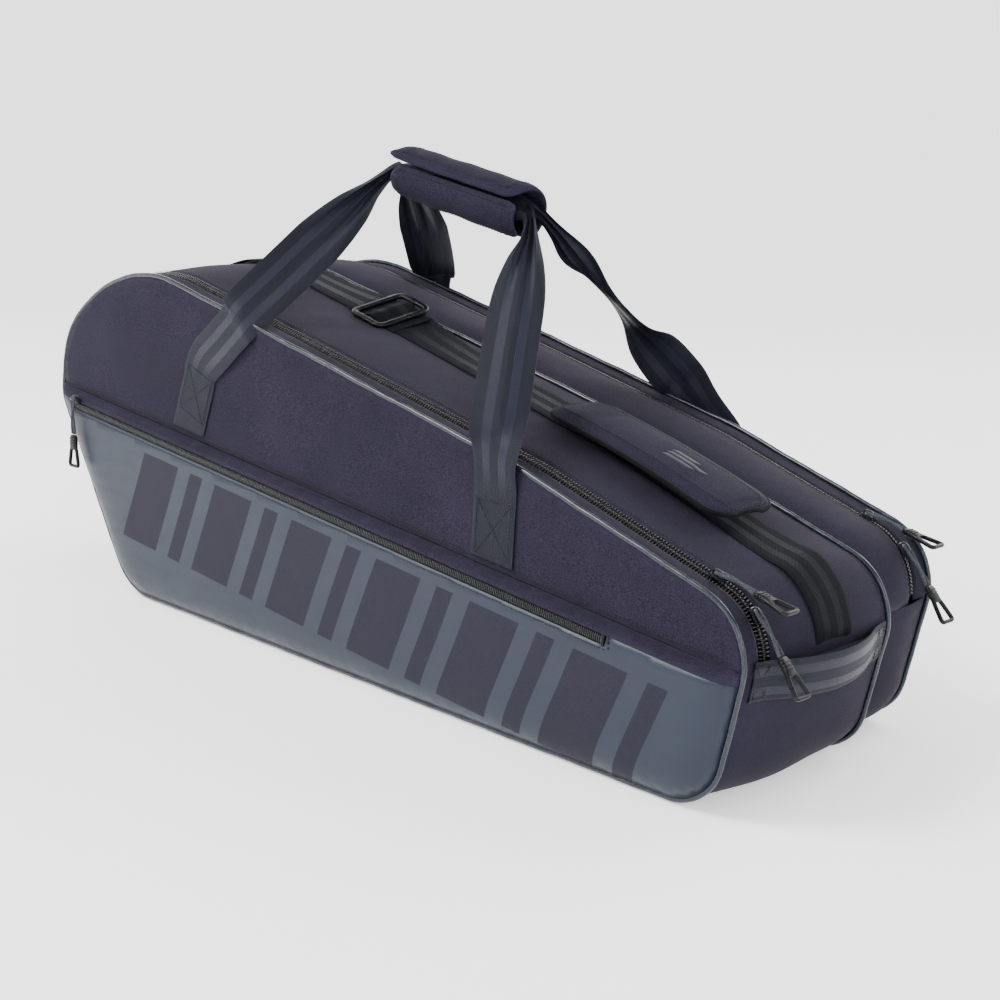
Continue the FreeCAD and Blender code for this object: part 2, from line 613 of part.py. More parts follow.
def buckle():
    """The strap's adjuster: a flat frame with a bar across its middle."""
    plate = bind(make("Part::Box", "buckle_plate"), Length="Sheet.buckle_long",
                 Width="Sheet.buckle_wide", Height="Sheet.buckle_thick")
    windows = []
    for index, start in enumerate(("Sheet.buckle_rim", "(Sheet.buckle_long + Sheet.buckle_bar) / 2")):
        window = bind(make("Part::Box", "buckle_window_%d" % index),
                      Length="(Sheet.buckle_long - Sheet.buckle_bar) / 2 - Sheet.buckle_rim",
                      Width="Sheet.buckle_wide - 2 * Sheet.buckle_rim",
                      Height="Sheet.buckle_thick + 2 * Sheet.overshoot")
        window.setExpression("Placement.Base.x", start)
        window.setExpression("Placement.Base.y", "Sheet.buckle_rim")
        window.setExpression("Placement.Base.z", "-Sheet.overshoot")
        windows.append(window)
    frame = boolean("Cut", "buckle", plate, fuse("buckle_windows", windows))
    pitch = math.degrees(math.atan((top_z(0) - top_z(100)) / 100))
    place = on_strap(size("buckle_x"), size("buckle_lift"), pitch)
    frame.Placement = centred(place, -size("buckle_long") / 2, -size("buckle_wide") / 2)
    return frame


pieces.update(strap_pieces())
pieces["shoulder_pad"] = shoulder_pad()
pieces["strap_buckle"] = buckle()


# ---------------------------------------------------------------- grab handle on the narrow end
def grab_handle():
    """A bowed strip of webbing, stitched flat at both ends."""
    half_span = "(Sheet.grab_to_y - Sheet.grab_from_y) / 2"
    radius = "((" + half_span + ") ^ 2 + Sheet.grab_bow ^ 2) / (2 * Sheet.grab_bow)"
    outside = bind(make("Part::Cylinder", "grab_outside"), Radius=radius, Height="Sheet.grab_high")
    inside = bind(make("Part::Cylinder", "grab_inside"), Radius=radius + " - Sheet.webbing_thick",
                  Height="Sheet.grab_high")
    middle_y = "(Sheet.grab_to_y + Sheet.grab_from_y) / 2"
    low = "Sheet.grab_z - Sheet.grab_high / 2"
    for disc in (outside, inside):
        disc.setExpression("Placement.Base.x", "Sheet.grab_x + Sheet.grab_bow - " + radius)
        disc.setExpression("Placement.Base.y", middle_y)
        disc.setExpression("Placement.Base.z", low)
    ring = boolean("Cut", "grab_ring", outside, inside)
    room = bind(make("Part::Box", "grab_room"), Length="2 * Sheet.grab_bow",
                Width="Sheet.grab_to_y - Sheet.grab_from_y", Height="Sheet.grab_high")
    room.setExpression("Placement.Base.x", "Sheet.grab_x")
    room.setExpression("Placement.Base.y", "Sheet.grab_from_y")
    room.setExpression("Placement.Base.z", low)
    shapes = [boolean("Common", "grab_bowed", ring, room)]
    ends = ("Sheet.grab_from_y - Sheet.grab_past", "Sheet.grab_to_y + Sheet.grab_past - Sheet.grab_patch")
    for index, from_y in enumerate(ends):
        end = bind(make("Part::Box", "grab_end_%d" % index), Length="Sheet.webbing_thick",
                   Width="Sheet.grab_patch", Height="Sheet.grab_high")
        end.setExpression("Placement.Base.x", "Sheet.grab_x")
        end.setExpression("Placement.Base.y", from_y)
        end.setExpression("Placement.Base.z", low)
        shapes.append(end)
    return fuse("grab_handle", shapes)


pieces["grab_handle"] = grab_handle()


# ---------------------------------------------------------------- sliders and pullers
def slider(name, placement):
    """A slider's plate with the bridge that holds its puller; local X is the way it travels."""
    long, post = size("slider_long"), size("bridge_post")
    plate = bind(make("Part::Box", name + "_plate"), Length="Sheet.slider_long",
                 Width="Sheet.slider_wide", Height="Sheet.slider_plate")
    arch = bind(make("Part::Box", name + "_arch"), Length="Sheet.slider_long",
                Width="Sheet.bridge_wide", Height="Sheet.slider_plate + Sheet.bridge_high")
    hole = bind(make("Part::Box", name + "_hole"), Length="Sheet.slider_long - 2 * Sheet.bridge_post",
                Width="Sheet.slider_wide", Height="Sheet.bridge_high - Sheet.bridge_beam")
    plate.Placement.Base = FreeCAD.Vector(-long / 2, -size("slider_wide") / 2, 0)
    arch.Placement.Base = FreeCAD.Vector(-long / 2, -size("bridge_wide") / 2, 0)
    hole.Placement.Base = FreeCAD.Vector(post - long / 2, -size("slider_wide") / 2, size("slider_plate"))
    bridge = boolean("Cut", name + "_bridge", arch, hole)
    body = fuse(name, [plate, bridge])
    body.Placement = placement
    return body


def cord_loop(name, placement, half, centre):
    """A loop of cord that turns round the bridge, its strands drawn together at the tab.  Local X
    points along the puller, and half is the radius of the turn about a centre on that axis."""
    long, apart = size("cord_long"), size("cord_r") + size("contact_gap")
    reach = math.hypot(long - centre, apart)
    slope = math.asin(half / reach) - math.atan2(apart, long - centre)
    touch = FreeCAD.Vector(centre + half * math.sin(slope), half * math.cos(slope), 0)
    start = FreeCAD.Vector(long, apart, 0)
    across = FreeCAD.Vector(touch.x, -touch.y, 0)
    path = Part.Wire([Part.LineSegment(start, touch).toShape(),
                      Part.Arc(touch, FreeCAD.Vector(centre - half, 0, 0), across).toShape(),
                      Part.LineSegment(across, FreeCAD.Vector(long, -apart, 0)).toShape()])
    circle = Part.Circle(start, touch - start, size("cord_r"))
    loop = make("Part::Feature", name)
    loop.Shape = path.makePipeShell([Part.Wire(circle.toShape())], True, False)
    loop.Placement = placement
    return loop


def puller_tab(name, placement):
    """The moulded end: a sleeve that grips the cord, then a flared ring for a fingertip."""
    start = size("cord_long") + size("contact_gap")
    end = size("cord_long") + size("tab_long")
    sleeve = bind(make("Part::Box", name + "_sleeve"), Length="Sheet.sleeve_long",
                  Width="Sheet.sleeve_wide", Height="Sheet.sleeve_thick")
    sleeve.Placement.Base = FreeCAD.Vector(start, -size("sleeve_wide") / 2, -size("sleeve_thick") / 2)
    rim, root = size("tab_rim"), start + size("sleeve_long") - size("overshoot")
    neck, wide, thick = size("sleeve_wide") / 2, size("tab_wide") / 2, size("tab_thick") / 2
    ring = boolean("Cut", name + "_ring",
                   flare(name + "_flare", root, end, neck, wide, thick),
                   flare(name + "_window", root + rim, end - rim, neck - rim, wide - rim, 2 * thick))
    tab = fuse(name, [sleeve, ring])
    tab.Placement = placement
    return tab


def flare(name, start, end, narrow, wide, thick):
    """A flat piece along local X that widens from one half width to another."""
    wedge = make("Part::Wedge", name)
    wedge.Ymin, wedge.Ymax = start, end
    wedge.Xmin, wedge.Xmax, wedge.X2min, wedge.X2max = -narrow, narrow, -wide, wide
    wedge.Zmin, wedge.Zmax, wedge.Z2min, wedge.Z2max = -thick, thick, -thick, thick
    wedge.Placement.Rotation = FreeCAD.Rotation(UP, -90)
    return wedge


def corner_points(shift):
    """The outline's first three corners as points, with the rounding of the second."""
    corners = [[float(sheet_value(text)) for text in corner] for corner in outline_corners(shift)]
    points = [FreeCAD.Vector(x, 0, z) for x, z, _ in corners[:3]]
    return points, corners[1][2]


def arc_spot(shift, angle):
    """A point on the top right corner's arc, at an angle up from +X, with its outward direction."""
    points, radius = corner_points(shift)
    _, _, centre = rounded_corner(*points, radius)
    outward = FreeCAD.Vector(math.cos(math.radians(angle)), 0, math.sin(math.radians(angle)))
    return centre + outward * radius, outward


def slope_spot(shift, back):
    """A point on the straight run above the narrow end, some way back from the corner's arc."""
    points, radius = corner_points(shift)
    _, end, _ = rounded_corner(*points, radius)
    along = (points[2] - points[1]).normalize()
    return end + along * back, FreeCAD.Vector(along.z, 0, -along.x)


def seated(spot, outward, forward, y):
    """Placement on the zip's teeth: local X forward, local Z outward."""
    rise = size("tooth_rise") + size("slider_gap") - size("piping_r")
    turn = FreeCAD.Rotation(forward, outward.cross(forward), outward, "ZXY")
    place = spot + outward * rise
    return FreeCAD.Placement(FreeCAD.Vector(place.x, y, place.z), turn)


def main_puller(name, place):
    """A puller that lies forward over its slider, its loop threaded flat under the bridge."""
    half = size("bridge_wide") / 2 + size("cord_r") + size("cord_clear")
    height = size("slider_plate") + (size("bridge_high") - size("bridge_beam")) / 2
    pull = FreeCAD.Placement(place.multVec(FreeCAD.Vector(0, 0, height)), place.Rotation)
    pieces[name + "_cord"] = cord_loop(name + "_cord", pull, half, half)
    pieces[name + "_tab"] = puller_tab(name + "_tab", pull)


def hanging_puller(name, place):
    """A puller that hangs straight down, its loop turned over the bridge's beam."""
    beam = size("bridge_beam") / 2
    half = math.hypot(size("bridge_wide") / 2, beam) + size("cord_clear") + size("cord_r")
    height = size("slider_plate") + size("bridge_high") - beam
    base = place.multVec(FreeCAD.Vector(0, 0, height))
    down, outward = FreeCAD.Vector(0, 0, -1), FreeCAD.Vector(0, -1, 0)
    cord_turn = FreeCAD.Rotation(down, outward, down.cross(outward), "XYZ")
    tab_turn = FreeCAD.Rotation(down, outward.cross(down), outward, "XYZ")
    pieces[name + "_cord"] = cord_loop(name + "_cord", FreeCAD.Placement(base, cord_turn), half, 0.0)
    pieces[name + "_tab"] = puller_tab(name + "_tab", FreeCAD.Placement(base, tab_turn))


def main_sliders(side, shift, sign):
    """Two sliders meet at the narrow end's corner: one runs along the top, one round the corner."""
    y = sign * size("zip_y")
    for place, (spot, outward) in (("top", slope_spot(shift, size("slider_back"))),
                                   ("end", arc_spot(shift, size("slider_arc")))):
        forward = FreeCAD.Vector(outward.z, 0, -outward.x)
        name = "%s_slider_%s" % (side, place)
        seat = seated(spot, outward, forward, y)
        pieces[name] = slider(name, seat)
        main_puller(name, seat)


def pocket_slider():
    """The pocket's slider at the zip's left end, with its puller hanging straight down."""
    x = size("pocket_slider_x")
    along = fold_turn.multVec(FreeCAD.Vector(1, 0, 0))
    outward = FreeCAD.Vector(0, -1, 0)
    lift = size("pocket_zip_sunk") + size("slider_gap")
    spot = FreeCAD.Vector(x, pocket_face() - lift, fold_z(x) - size("pocket_zip_drop"))
    turn = FreeCAD.Rotation(along, outward.cross(along), outward, "ZXY")
    seat = FreeCAD.Placement(spot, turn)
    pieces["pocket_slider"] = slider("pocket_slider", seat)
    hanging_puller("pocket_slider", seat)


main_sliders("front", "0 * Sheet.rear_shortening", -1)
main_sliders("rear", "Sheet.rear_shortening", 1)
pocket_slider()


# ---------------------------------------------------------------- checks and export
def export():
    """Check every feature, then write each piece in the part's own frame."""
    doc.recompute()
    for feature in doc.Objects:
        if "Invalid" in feature.State or "Error" in feature.State:
            raise RuntimeError("%s failed: %s" % (feature.Name, feature.State))
    origin = FreeCAD.Vector(size("origin_x"), size("origin_y"), size("origin_z"))
    os.makedirs("parts", exist_ok=True)
    for name, feature in pieces.items():
        feature.Label = name
        if feature.Shape.isNull() or not feature.Shape.isValid():
            raise RuntimeError(name + " has no valid shape")
        if len(feature.Shape.Solids) != 1:
            raise RuntimeError("%s has %d solids" % (name, len(feature.Shape.Solids)))
        moved = feature.Shape.translated(origin * -1)
        moved.exportStep("parts/%s.step" % name)
        bounds = moved.BoundBox
        print("%-24s %9.0f mm3  x %.1f..%.1f  y %.1f..%.1f  z %.1f..%.1f" % (
            name, moved.Volume, bounds.XMin, bounds.XMax, bounds.YMin, bounds.YMax,
            bounds.ZMin, bounds.ZMax))


export()
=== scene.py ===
import math

import bmesh
import bpy
import numpy as np
from mathutils import Matrix, Vector
from mathutils.geometry import delaunay_2d_cdt


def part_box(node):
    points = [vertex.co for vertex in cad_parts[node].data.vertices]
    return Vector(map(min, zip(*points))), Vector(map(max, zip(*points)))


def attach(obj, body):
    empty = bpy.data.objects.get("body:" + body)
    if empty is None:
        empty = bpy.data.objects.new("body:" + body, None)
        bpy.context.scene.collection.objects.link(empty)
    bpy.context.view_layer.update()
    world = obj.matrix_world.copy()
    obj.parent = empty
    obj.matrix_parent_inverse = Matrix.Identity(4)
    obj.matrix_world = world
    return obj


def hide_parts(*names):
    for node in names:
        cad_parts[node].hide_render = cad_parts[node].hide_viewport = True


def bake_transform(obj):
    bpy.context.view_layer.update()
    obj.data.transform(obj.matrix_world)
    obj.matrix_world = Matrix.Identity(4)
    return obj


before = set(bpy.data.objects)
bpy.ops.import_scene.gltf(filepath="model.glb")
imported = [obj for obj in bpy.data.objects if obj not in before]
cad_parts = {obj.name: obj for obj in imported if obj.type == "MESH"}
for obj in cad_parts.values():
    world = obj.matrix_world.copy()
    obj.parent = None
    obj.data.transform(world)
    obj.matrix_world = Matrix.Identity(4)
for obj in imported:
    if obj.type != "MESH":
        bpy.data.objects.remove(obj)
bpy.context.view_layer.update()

# A six-racket tennis bag.  Lengths below are millimetres in the frame that the outline was drawn in:
# X along the bag, Y from the front with the flat pocket to the rear, Z up from the flat bottom.
ORIGIN = np.array((12.871, -3.092, -3.0))

# outline of the bag from the front: corner points and the radius that rounds each
CORNERS = ((357, 0, 41), (383.5, 128.5, 46), (184, 187.5, 250), (-276, 285, 160),
           (-371, 214.5, 71), (-377, 156, 24), (-279, 0, 54))
REAR_SHORTENING = 20.0  # the rear compartment ends this much sooner at the low end
FRONT_Y, CENTRE_Y, REAR_Y, ZIP_Y = -123.0, 39.5, 123.0, 101.0
FOLD_LEFT, FOLD_RIGHT = (-373.0, 167.0), (377.0, 95.0)
FOLD_SLOPE = (FOLD_LEFT[1] - FOLD_RIGHT[1]) / (FOLD_RIGHT[0] - FOLD_LEFT[0])
FABRIC = 1.3            # thickness of the shell's cloth
WEBBING = 40.0          # width of the webbing in the handles and the strap
NARROWING = 10.0        # how much narrower the bag is at its low end


def metres(points):
    return (np.asarray(points, float) - ORIGIN) / 1000.0


def fold_z(x):
    """Height of the seam where the lids fold."""
    return FOLD_LEFT[1] - FOLD_SLOPE * (np.asarray(x, float) - FOLD_LEFT[0])


def unit(vectors):
    vectors = np.asarray(vectors, float)
    return vectors / np.maximum(np.linalg.norm(vectors, axis=-1, keepdims=True), 1e-9)


def distances(path):
    """Distance along a path to each of its points."""
    return np.concatenate(((0,), np.cumsum(np.linalg.norm(np.diff(path, axis=0), axis=1))))


def sampled(points, along, wanted):
    """A path's points at wanted distances, from the distance to each of its own."""
    return np.stack([np.interp(wanted, along, points[:, k]) for k in range(points.shape[1])], -1)


def loop_ways(loop):
    """Direction along a closed loop at each of its points."""
    return unit(np.roll(loop, -1, axis=0) - np.roll(loop, 1, axis=0))


def each(way, path):
    """One direction, repeated for every point of a path."""
    return np.tile(way, (len(path), 1))


def ease(value, low, high):
    """0 below low, 1 above high, smooth between."""
    t = np.clip((np.asarray(value, float) - low) / (high - low), 0, 1)
    return t * t * (3 - 2 * t)


def ripple(points, length, seed):
    """Smooth unevenness between about -1 and 1, its waves about one length long."""
    points = np.asarray(points, float)
    own = np.random.default_rng(seed)
    total = np.zeros(len(points))
    for _ in range(7):
        way = unit(own.normal(size=3)) * own.uniform(0.6, 1.5)
        total += np.sin(points @ way * 2 * math.pi / length + own.uniform(0, 6.3))
    return total / 3.5


def flat_ripple(points, length, seed):
    """The same unevenness for points (x, z) of a face."""
    return ripple(np.column_stack((points, points[:, 0] * 0)), length, seed)


# ---------------------------------------------------------------- the outline
class Outline:
    """The rounded outline, by distance along it, anticlockwise from the bottom right corner."""

    def __init__(self, shortening):
        drop = (CORNERS[2][1] - CORNERS[1][1]) / (CORNERS[1][0] - CORNERS[2][0])
        corners = [list(corner) for corner in CORNERS]
        corners[0][0] -= shortening
        corners[1][0] -= shortening
        corners[1][1] += shortening * drop
        count = len(corners)
        points, normals = [], []
        for index, (x, z, radius) in enumerate(corners):
            corner = np.array((x, z), float)
            before = unit(np.array(corners[index - 1][:2]) - corner)
            after = unit(np.array(corners[(index + 1) % count][:2]) - corner)
            half = math.acos(float(before @ after)) / 2
            centre = corner + unit(before + after) * radius / math.sin(half)
            start = corner + before * radius / math.tan(half) - centre
            end = corner + after * radius / math.tan(half) - centre
            first, last = math.atan2(start[1], start[0]), math.atan2(end[1], end[0])
            last += 2 * math.pi * (last < first)
            for angle in np.linspace(first, last, max(8, int(radius * (last - first) / 2))):
                outward = np.array((math.cos(angle), math.sin(angle)))
                points.append(centre + radius * outward)
                normals.append(outward)
        points.append(points[0])
        normals.append(normals[0])
        self.points, self.normals = np.array(points), np.array(normals)
        self.along = distances(self.points)
        self.length = self.along[-1]
        fine = np.linspace(0, self.length, 8001)
        place, _ = self.at(fine)
        above = place[:, 1] > fold_z(place[:, 0])
        self.fold_right = fine[np.argmax(above)]
        self.fold_left = fine[len(fine) - 1 - np.argmax(above[::-1])]

    def at(self, s):
        """Points (x, z) and outward directions at distances s."""
        s = np.asarray(s, float) % self.length
        return sampled(self.points, self.along, s), unit(sampled(self.normals, self.along, s))

    def out(self, s):
        """Outward directions in space at distances s."""
        normal = self.at(s)[1]
        return np.stack((normal[:, 0], 0 * s, normal[:, 1]), -1)

    def span(self, upper, step, margin=0.0):
        """Distances along the part above or below the fold, evenly spaced."""
        start, end = self.fold_right, self.fold_left
        if not upper:
            start, end = end, start + self.length
        start, end = start + margin, end - margin
        return np.linspace(start, end, int((end - start) / step) + 1)

    def lift(self, s, y, offset):
        """Points in space at distance s, at depth y and raised outward by offset."""
        place, normal = self.at(s)
        place = place + normal * np.asarray(offset, float)[..., None]
        y = np.broadcast_to(np.asarray(y, float), place.shape[:-1])
        return np.stack((place[..., 0], y, place[..., 1]), -1)


front_outline, rear_outline = Outline(0.0), Outline(REAR_SHORTENING)


def narrowed(points):
    """The bag is a little narrower at its low end: everything behind the front comes forward."""
    points = np.array(points, float)
    back = np.clip((points[:, 1] - FRONT_Y) / (REAR_Y - FRONT_Y), 0, 1) ** 0.8
    points[:, 1] -= NARROWING * ease(points[:, 0], -60, 330) * back
    return points


# ---------------------------------------------------------------- making pieces
def add_piece(name, points, faces, material, uv=None, flat=False, sharp=50.0, narrow=True):
    """A mesh piece from points in millimetres; uv gives a place in millimetres for each point."""
    points = np.asarray(points, float)
    if narrow:
        points = narrowed(points)
    mesh = bpy.data.meshes.new(name)
    mesh.from_pydata(metres(points).tolist(), [], [tuple(int(i) for i in face) for face in faces])
    mesh.validate()
    if uv is not None:
        layer = mesh.uv_layers.new(name="cloth")
        loops = np.zeros(len(mesh.loops), np.int32)
        mesh.loops.foreach_get("vertex_index", loops)
        places = np.asarray(uv, float)[loops] / 1000.0
        layer.data.foreach_set("uv", places.astype(np.float32).ravel())
    mesh.polygons.foreach_set("use_smooth", np.full(len(mesh.polygons), not flat))
    mesh.set_sharp_from_angle(angle=math.radians(sharp))
    mesh.materials.append(material)
    piece = bpy.data.objects.new(name, mesh)
    bpy.context.scene.collection.objects.link(piece)
    return piece


def grid_faces(rows, columns, closed_rows=False, closed_columns=False, start=0):
    """Quads over a grid of points stored row by row."""
    row = np.arange(rows if closed_rows else rows - 1)
    column = np.arange(columns if closed_columns else columns - 1)
    r, c = np.meshgrid(row, column, indexing="ij")
    down, right = (r + 1) % rows, (c + 1) % columns
    faces = np.stack((r * columns + c, r * columns + right, down * columns + right,
                      down * columns + c), -1)
    return (faces.reshape(-1, 4) + start).tolist()


def settle(piece, body, slot, *nodes):
    """Ride on a body and stand for CAD nodes; the slot is not used."""
    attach(piece, body)
    if nodes:
        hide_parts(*nodes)
    return piece


def thicken(piece, thickness, lining=None):
    """Give a sheet its thickness, inward, with its lining on the inside."""
    solid = piece.modifiers.new("thickness", "SOLIDIFY")
    solid.thickness = thickness / 1000.0
    solid.offset = -1.0
    solid.use_quality_normals = True
    if lining is not None:
        piece.data.materials.append(lining)
        solid.material_offset = 1
        solid.material_offset_rim = 0
    return piece


def section_sweep(centres, side, up, section, closed=False):
    """Points and faces of a closed section (u, v) carried along centres by two directions."""
    section = np.asarray(section, float)
    if section.ndim == 2:
        section = np.broadcast_to(section, (len(centres),) + section.shape)
    points = (np.asarray(centres)[:, None, :] + section[:, :, :1] * np.asarray(side)[:, None, :]
              + section[:, :, 1:] * np.asarray(up)[:, None, :])
    rows, columns = section.shape[:2]
    faces = grid_faces(rows, columns, closed_rows=closed, closed_columns=True)
    if not closed:
        faces.append(list(range(columns)))
        faces.append([(rows - 1) * columns + k for k in range(columns)][::-1])
    return points.reshape(-1, 3), faces


def circle(radius, count):
    angles = np.arange(count) * 2 * math.pi / count
    return np.stack((radius * np.cos(angles), radius * np.sin(angles)), -1)


def oval(wide, high, exponent, count):
    """A rounded section: an ellipse at exponent 1, and nearer to a rectangle below it."""
    angles = np.arange(count) * 2 * math.pi / count
    c, s = np.cos(angles), np.sin(angles)
    return np.stack((np.sign(c) * np.abs(c) ** exponent * wide / 2,
                     np.sign(s) * np.abs(s) ** exponent * high / 2), -1)


def smooth_path(points, step=3.0):
    """A Catmull-Rom curve through points of any width, resampled at even steps of its first three."""
    points = np.asarray(points, float)
    padded = np.vstack((2 * points[0] - points[1], points, 2 * points[-1] - points[-2]))
    dense = []
    for k in range(1, len(padded) - 2):
        p0, p1, p2, p3 = padded[k - 1:k + 3]
        for t in np.linspace(0, 1, 24, endpoint=False):
            dense.append(0.5 * (2 * p1 + (p2 - p0) * t + (2 * p0 - 5 * p1 + 4 * p2 - p3) * t * t
                                + (3 * p1 - p0 - 3 * p2 + p3) * t ** 3))
    dense.append(points[-1])
    dense = np.array(dense)
    along = distances(dense[:, :3])
    return sampled(dense, along, np.linspace(0, along[-1], max(3, int(along[-1] / step) + 1)))


def path_frame(centres, across):
    """Across directions, made square to a path, and the normals."""
    tangent = unit(np.gradient(centres, axis=0))
    across = np.asarray(across, float)
    across = unit(across - tangent * np.sum(across * tangent, axis=1, keepdims=True))
    return across, np.cross(across, tangent)


def ribbon(centres, across, width=WEBBING, thickness=1.6, curl=0.0, gather=0.0):
    """A flat strip of webbing.  curl, in radians, is how far it is rolled about its length, and the
    width stays the same round the roll.  gather, from 0 to 1, draws it together in three pleats.
    Gives points, faces and uv (across, along)."""
    count = 19
    across, normal = path_frame(centres, across)
    curl = np.broadcast_to(np.asarray(curl, float), (len(centres),))
    position = np.linspace(-0.5, 0.5, count)
    angle = np.where(np.abs(curl) < 1e-3, 1e-3, curl)[:, None]
    radius = width / angle
    turn = angle * position
    sideways, bow = radius * np.sin(turn), radius * (1 - np.cos(turn))
    bow = bow - bow.mean(axis=1, keepdims=True)
    drawn = 1 - 0.8 * np.broadcast_to(np.asarray(gather, float), (len(centres),))[:, None]
    sideways = sideways * drawn
    pleat = np.abs(((position + 0.5) * 3 + 0.5) % 1 * 2 - 1) - 0.5
    bow = bow * drawn + pleat * width / 6 * np.sqrt(np.clip(1 - drawn ** 2, 0, None)) * 0.8
    half = 0.5 * thickness * np.clip((1 - np.abs(2 * position)) * 14, 0.45, 1.0)
    rings = []
    for side in (1, -1):
        u = sideways - side * half * np.sin(turn)
        v = bow + side * half * np.cos(turn)
        rings.append(np.stack((u, v), -1)[:, ::side])
    section = np.concatenate(rings, axis=1)
    points, faces = section_sweep(centres, across, normal, section)
    width_place = np.concatenate((position, position[::-1])) * width
    uv = np.stack((np.tile(width_place, len(centres)), np.repeat(distances(centres), 2 * count)), -1)
    return points, faces, uv


def join(parts):
    """Several (points, faces) or (points, faces, uv) made into one."""
    points, faces, uvs, start = [], [], [], 0
    for part in parts:
        points.append(np.asarray(part[0]))
        faces += [[index + start for index in face] for face in part[1]]
        uvs.append(np.asarray(part[2]) if len(part) > 2 else np.zeros((len(part[0]), 2)))
        start += len(part[0])
    return np.concatenate(points), faces, np.concatenate(uvs)


def joined_piece(name, parts, material, **options):
    """One mesh piece of several (points, faces)."""
    points, faces, _ = join(parts)
    return add_piece(name, points, faces, material, **options)


# a stitch's or tooth's half width along its length, as shares of its radius and length
BEAD = ((-0.5, 0.35), (-0.34, 0.85), (0.0, 1.0), (0.34, 0.85), (0.5, 0.35))
BEAD_SIDES = 6


def beads(places, along, up, length, radius, flatten=1.0):
    """Small rounded pieces, such as stitches and teeth, each lying along its own direction."""
    places, along, up = np.asarray(places, float), unit(along), unit(up)
    side = np.cross(along, up)
    profile, ring = np.asarray(BEAD, float), circle(1.0, BEAD_SIDES)
    sideways = profile[:, 1, None] * ring[:, 0] * radius
    upward = profile[:, 1, None] * ring[:, 1] * radius * flatten
    shape = (along[:, None, None, :] * (profile[:, 0] * length)[None, :, None, None]
             + side[:, None, None, :] * sideways[None, :, :, None]
             + up[:, None, None, :] * upward[None, :, :, None])
    points = places[:, None, None, :] + shape
    rows, sides = len(profile), BEAD_SIDES
    one = grid_faces(rows, sides, closed_columns=True)
    one.append(list(range(sides)))
    one.append([(rows - 1) * sides + k for k in range(sides)][::-1])
    faces = [[k + index * rows * sides for k in face] for index in range(len(places)) for face in one]
    return points.reshape(-1, 3), faces


def stitch_line(path, up, spacing=3.6, length=2.7, radius=0.42):
    """A row of stitches along a path, half sunk in the cloth."""
    path = np.asarray(path, float)
    along = distances(path)
    even = np.arange(spacing / 2, along[-1], spacing)
    places = sampled(path, along, even)
    ups = sampled(np.broadcast_to(np.asarray(up, float), path.shape), along, even)
    ways = np.gradient(places, axis=0)
    return beads(places + unit(ups) * radius * 0.25, ways, ups, length, radius, flatten=0.7)


def crossed_box(corners):
    """Lines of nine points along the sides and diagonals of a box, as patches are stitched."""
    corners = [np.asarray(corner, float) for corner in corners]
    for a, b in ((0, 1), (1, 2), (2, 3), (3, 0), (0, 2), (1, 3)):
        yield np.array([corners[a] + (corners[b] - corners[a]) * t for t in np.linspace(0, 1, 9)])


# ---------------------------------------------------------------- materials
def times(colour, factor):
    return tuple(v * factor for v in colour)


class Shade:
    """Builds one node material step by step."""

    def __init__(self, name, **settings):
        self.material = bpy.data.materials.new(name)
        self.material.use_nodes = True
        self.tree = self.material.node_tree
        self.shader = self.tree.nodes["Principled BSDF"]
        for key, value in settings.items():
            self.shader.inputs[key.replace("_", " ")].default_value = value
        self.object_place = self.node("ShaderNodeTexCoord").outputs["Object"]

    def node(self, kind, links=None, **values):
        made = self.tree.nodes.new(kind)
        for key, value in values.items():
            setattr(made, key, value)
        for key, value in (links or {}).items():
            if isinstance(value, bpy.types.NodeSocket):
                self.tree.links.new(value, made.inputs[key])
            else:
                made.inputs[key].default_value = value
        return made

    def math(self, operation, first, second=0.0, third=0.0):
        return self.node("ShaderNodeMath", {0: first, 1: second, 2: third}, operation=operation).outputs[0]

    def stretched(self, scale):
        return self.node("ShaderNodeMapping", {"Vector": self.object_place, "Scale": scale}).outputs[0]

    def noise(self, scale, detail=2.0, roughness=0.5, source=None):
        links = {"Vector": source or self.object_place, "Scale": scale, "Detail": detail,
                 "Roughness": roughness}
        return self.node("ShaderNodeTexNoise", links).outputs["Fac"]

    def spread(self, value, low, high, to_low=0.0, to_high=1.0):
        """Map a value's range onto another, clamped."""
        return self.node("ShaderNodeMapRange", {"Value": value, "From Min": low, "From Max": high,
                                                "To Min": to_low, "To Max": to_high}).outputs["Result"]

    def blend(self, factor, first, second, mode="MIX"):
        made = self.node("ShaderNodeMix", data_type="RGBA", blend_type=mode)
        for index, value in ((0, factor), (6, first), (7, second)):
            if isinstance(value, bpy.types.NodeSocket):
                self.tree.links.new(value, made.inputs[index])
            else:
                made.inputs[index].default_value = value if index == 0 else (*value, 1.0)
        return made.outputs[2]

    def mix(self, factor, first, second):
        """A number between two others."""
        return self.node("ShaderNodeMix", {0: factor, 2: first, 3: second}, data_type="FLOAT").outputs[0]

    def split(self, vector):
        return self.node("ShaderNodeSeparateXYZ", {0: vector}).outputs

    def above_slope(self, x, z):
        """Height above a line through the middle that is parallel to the fold."""
        return self.math("MULTIPLY_ADD", x, FOLD_SLOPE, z)

    def painted_edge_highlight(self, low, high, most):
        """How much paler convex edges and ridges are made: a painted highlight where they catch the light."""
        edges = self.node("ShaderNodeNewGeometry").outputs["Pointiness"]
        return self.spread(edges, low, high, 0.0, most)

    def set(self, key, value):
        self.tree.links.new(value, self.shader.inputs[key])

    def bump(self, *layers):
        """Layers of (height value, depth in metres), finest last."""
        normal = None
        for height, depth in layers:
            links = {"Height": height, "Distance": depth, "Strength": 1.0}
            if normal is not None:
                links["Normal"] = normal
            normal = self.node("ShaderNodeBump", links).outputs["Normal"]
        self.tree.links.new(normal, self.shader.inputs["Normal"])


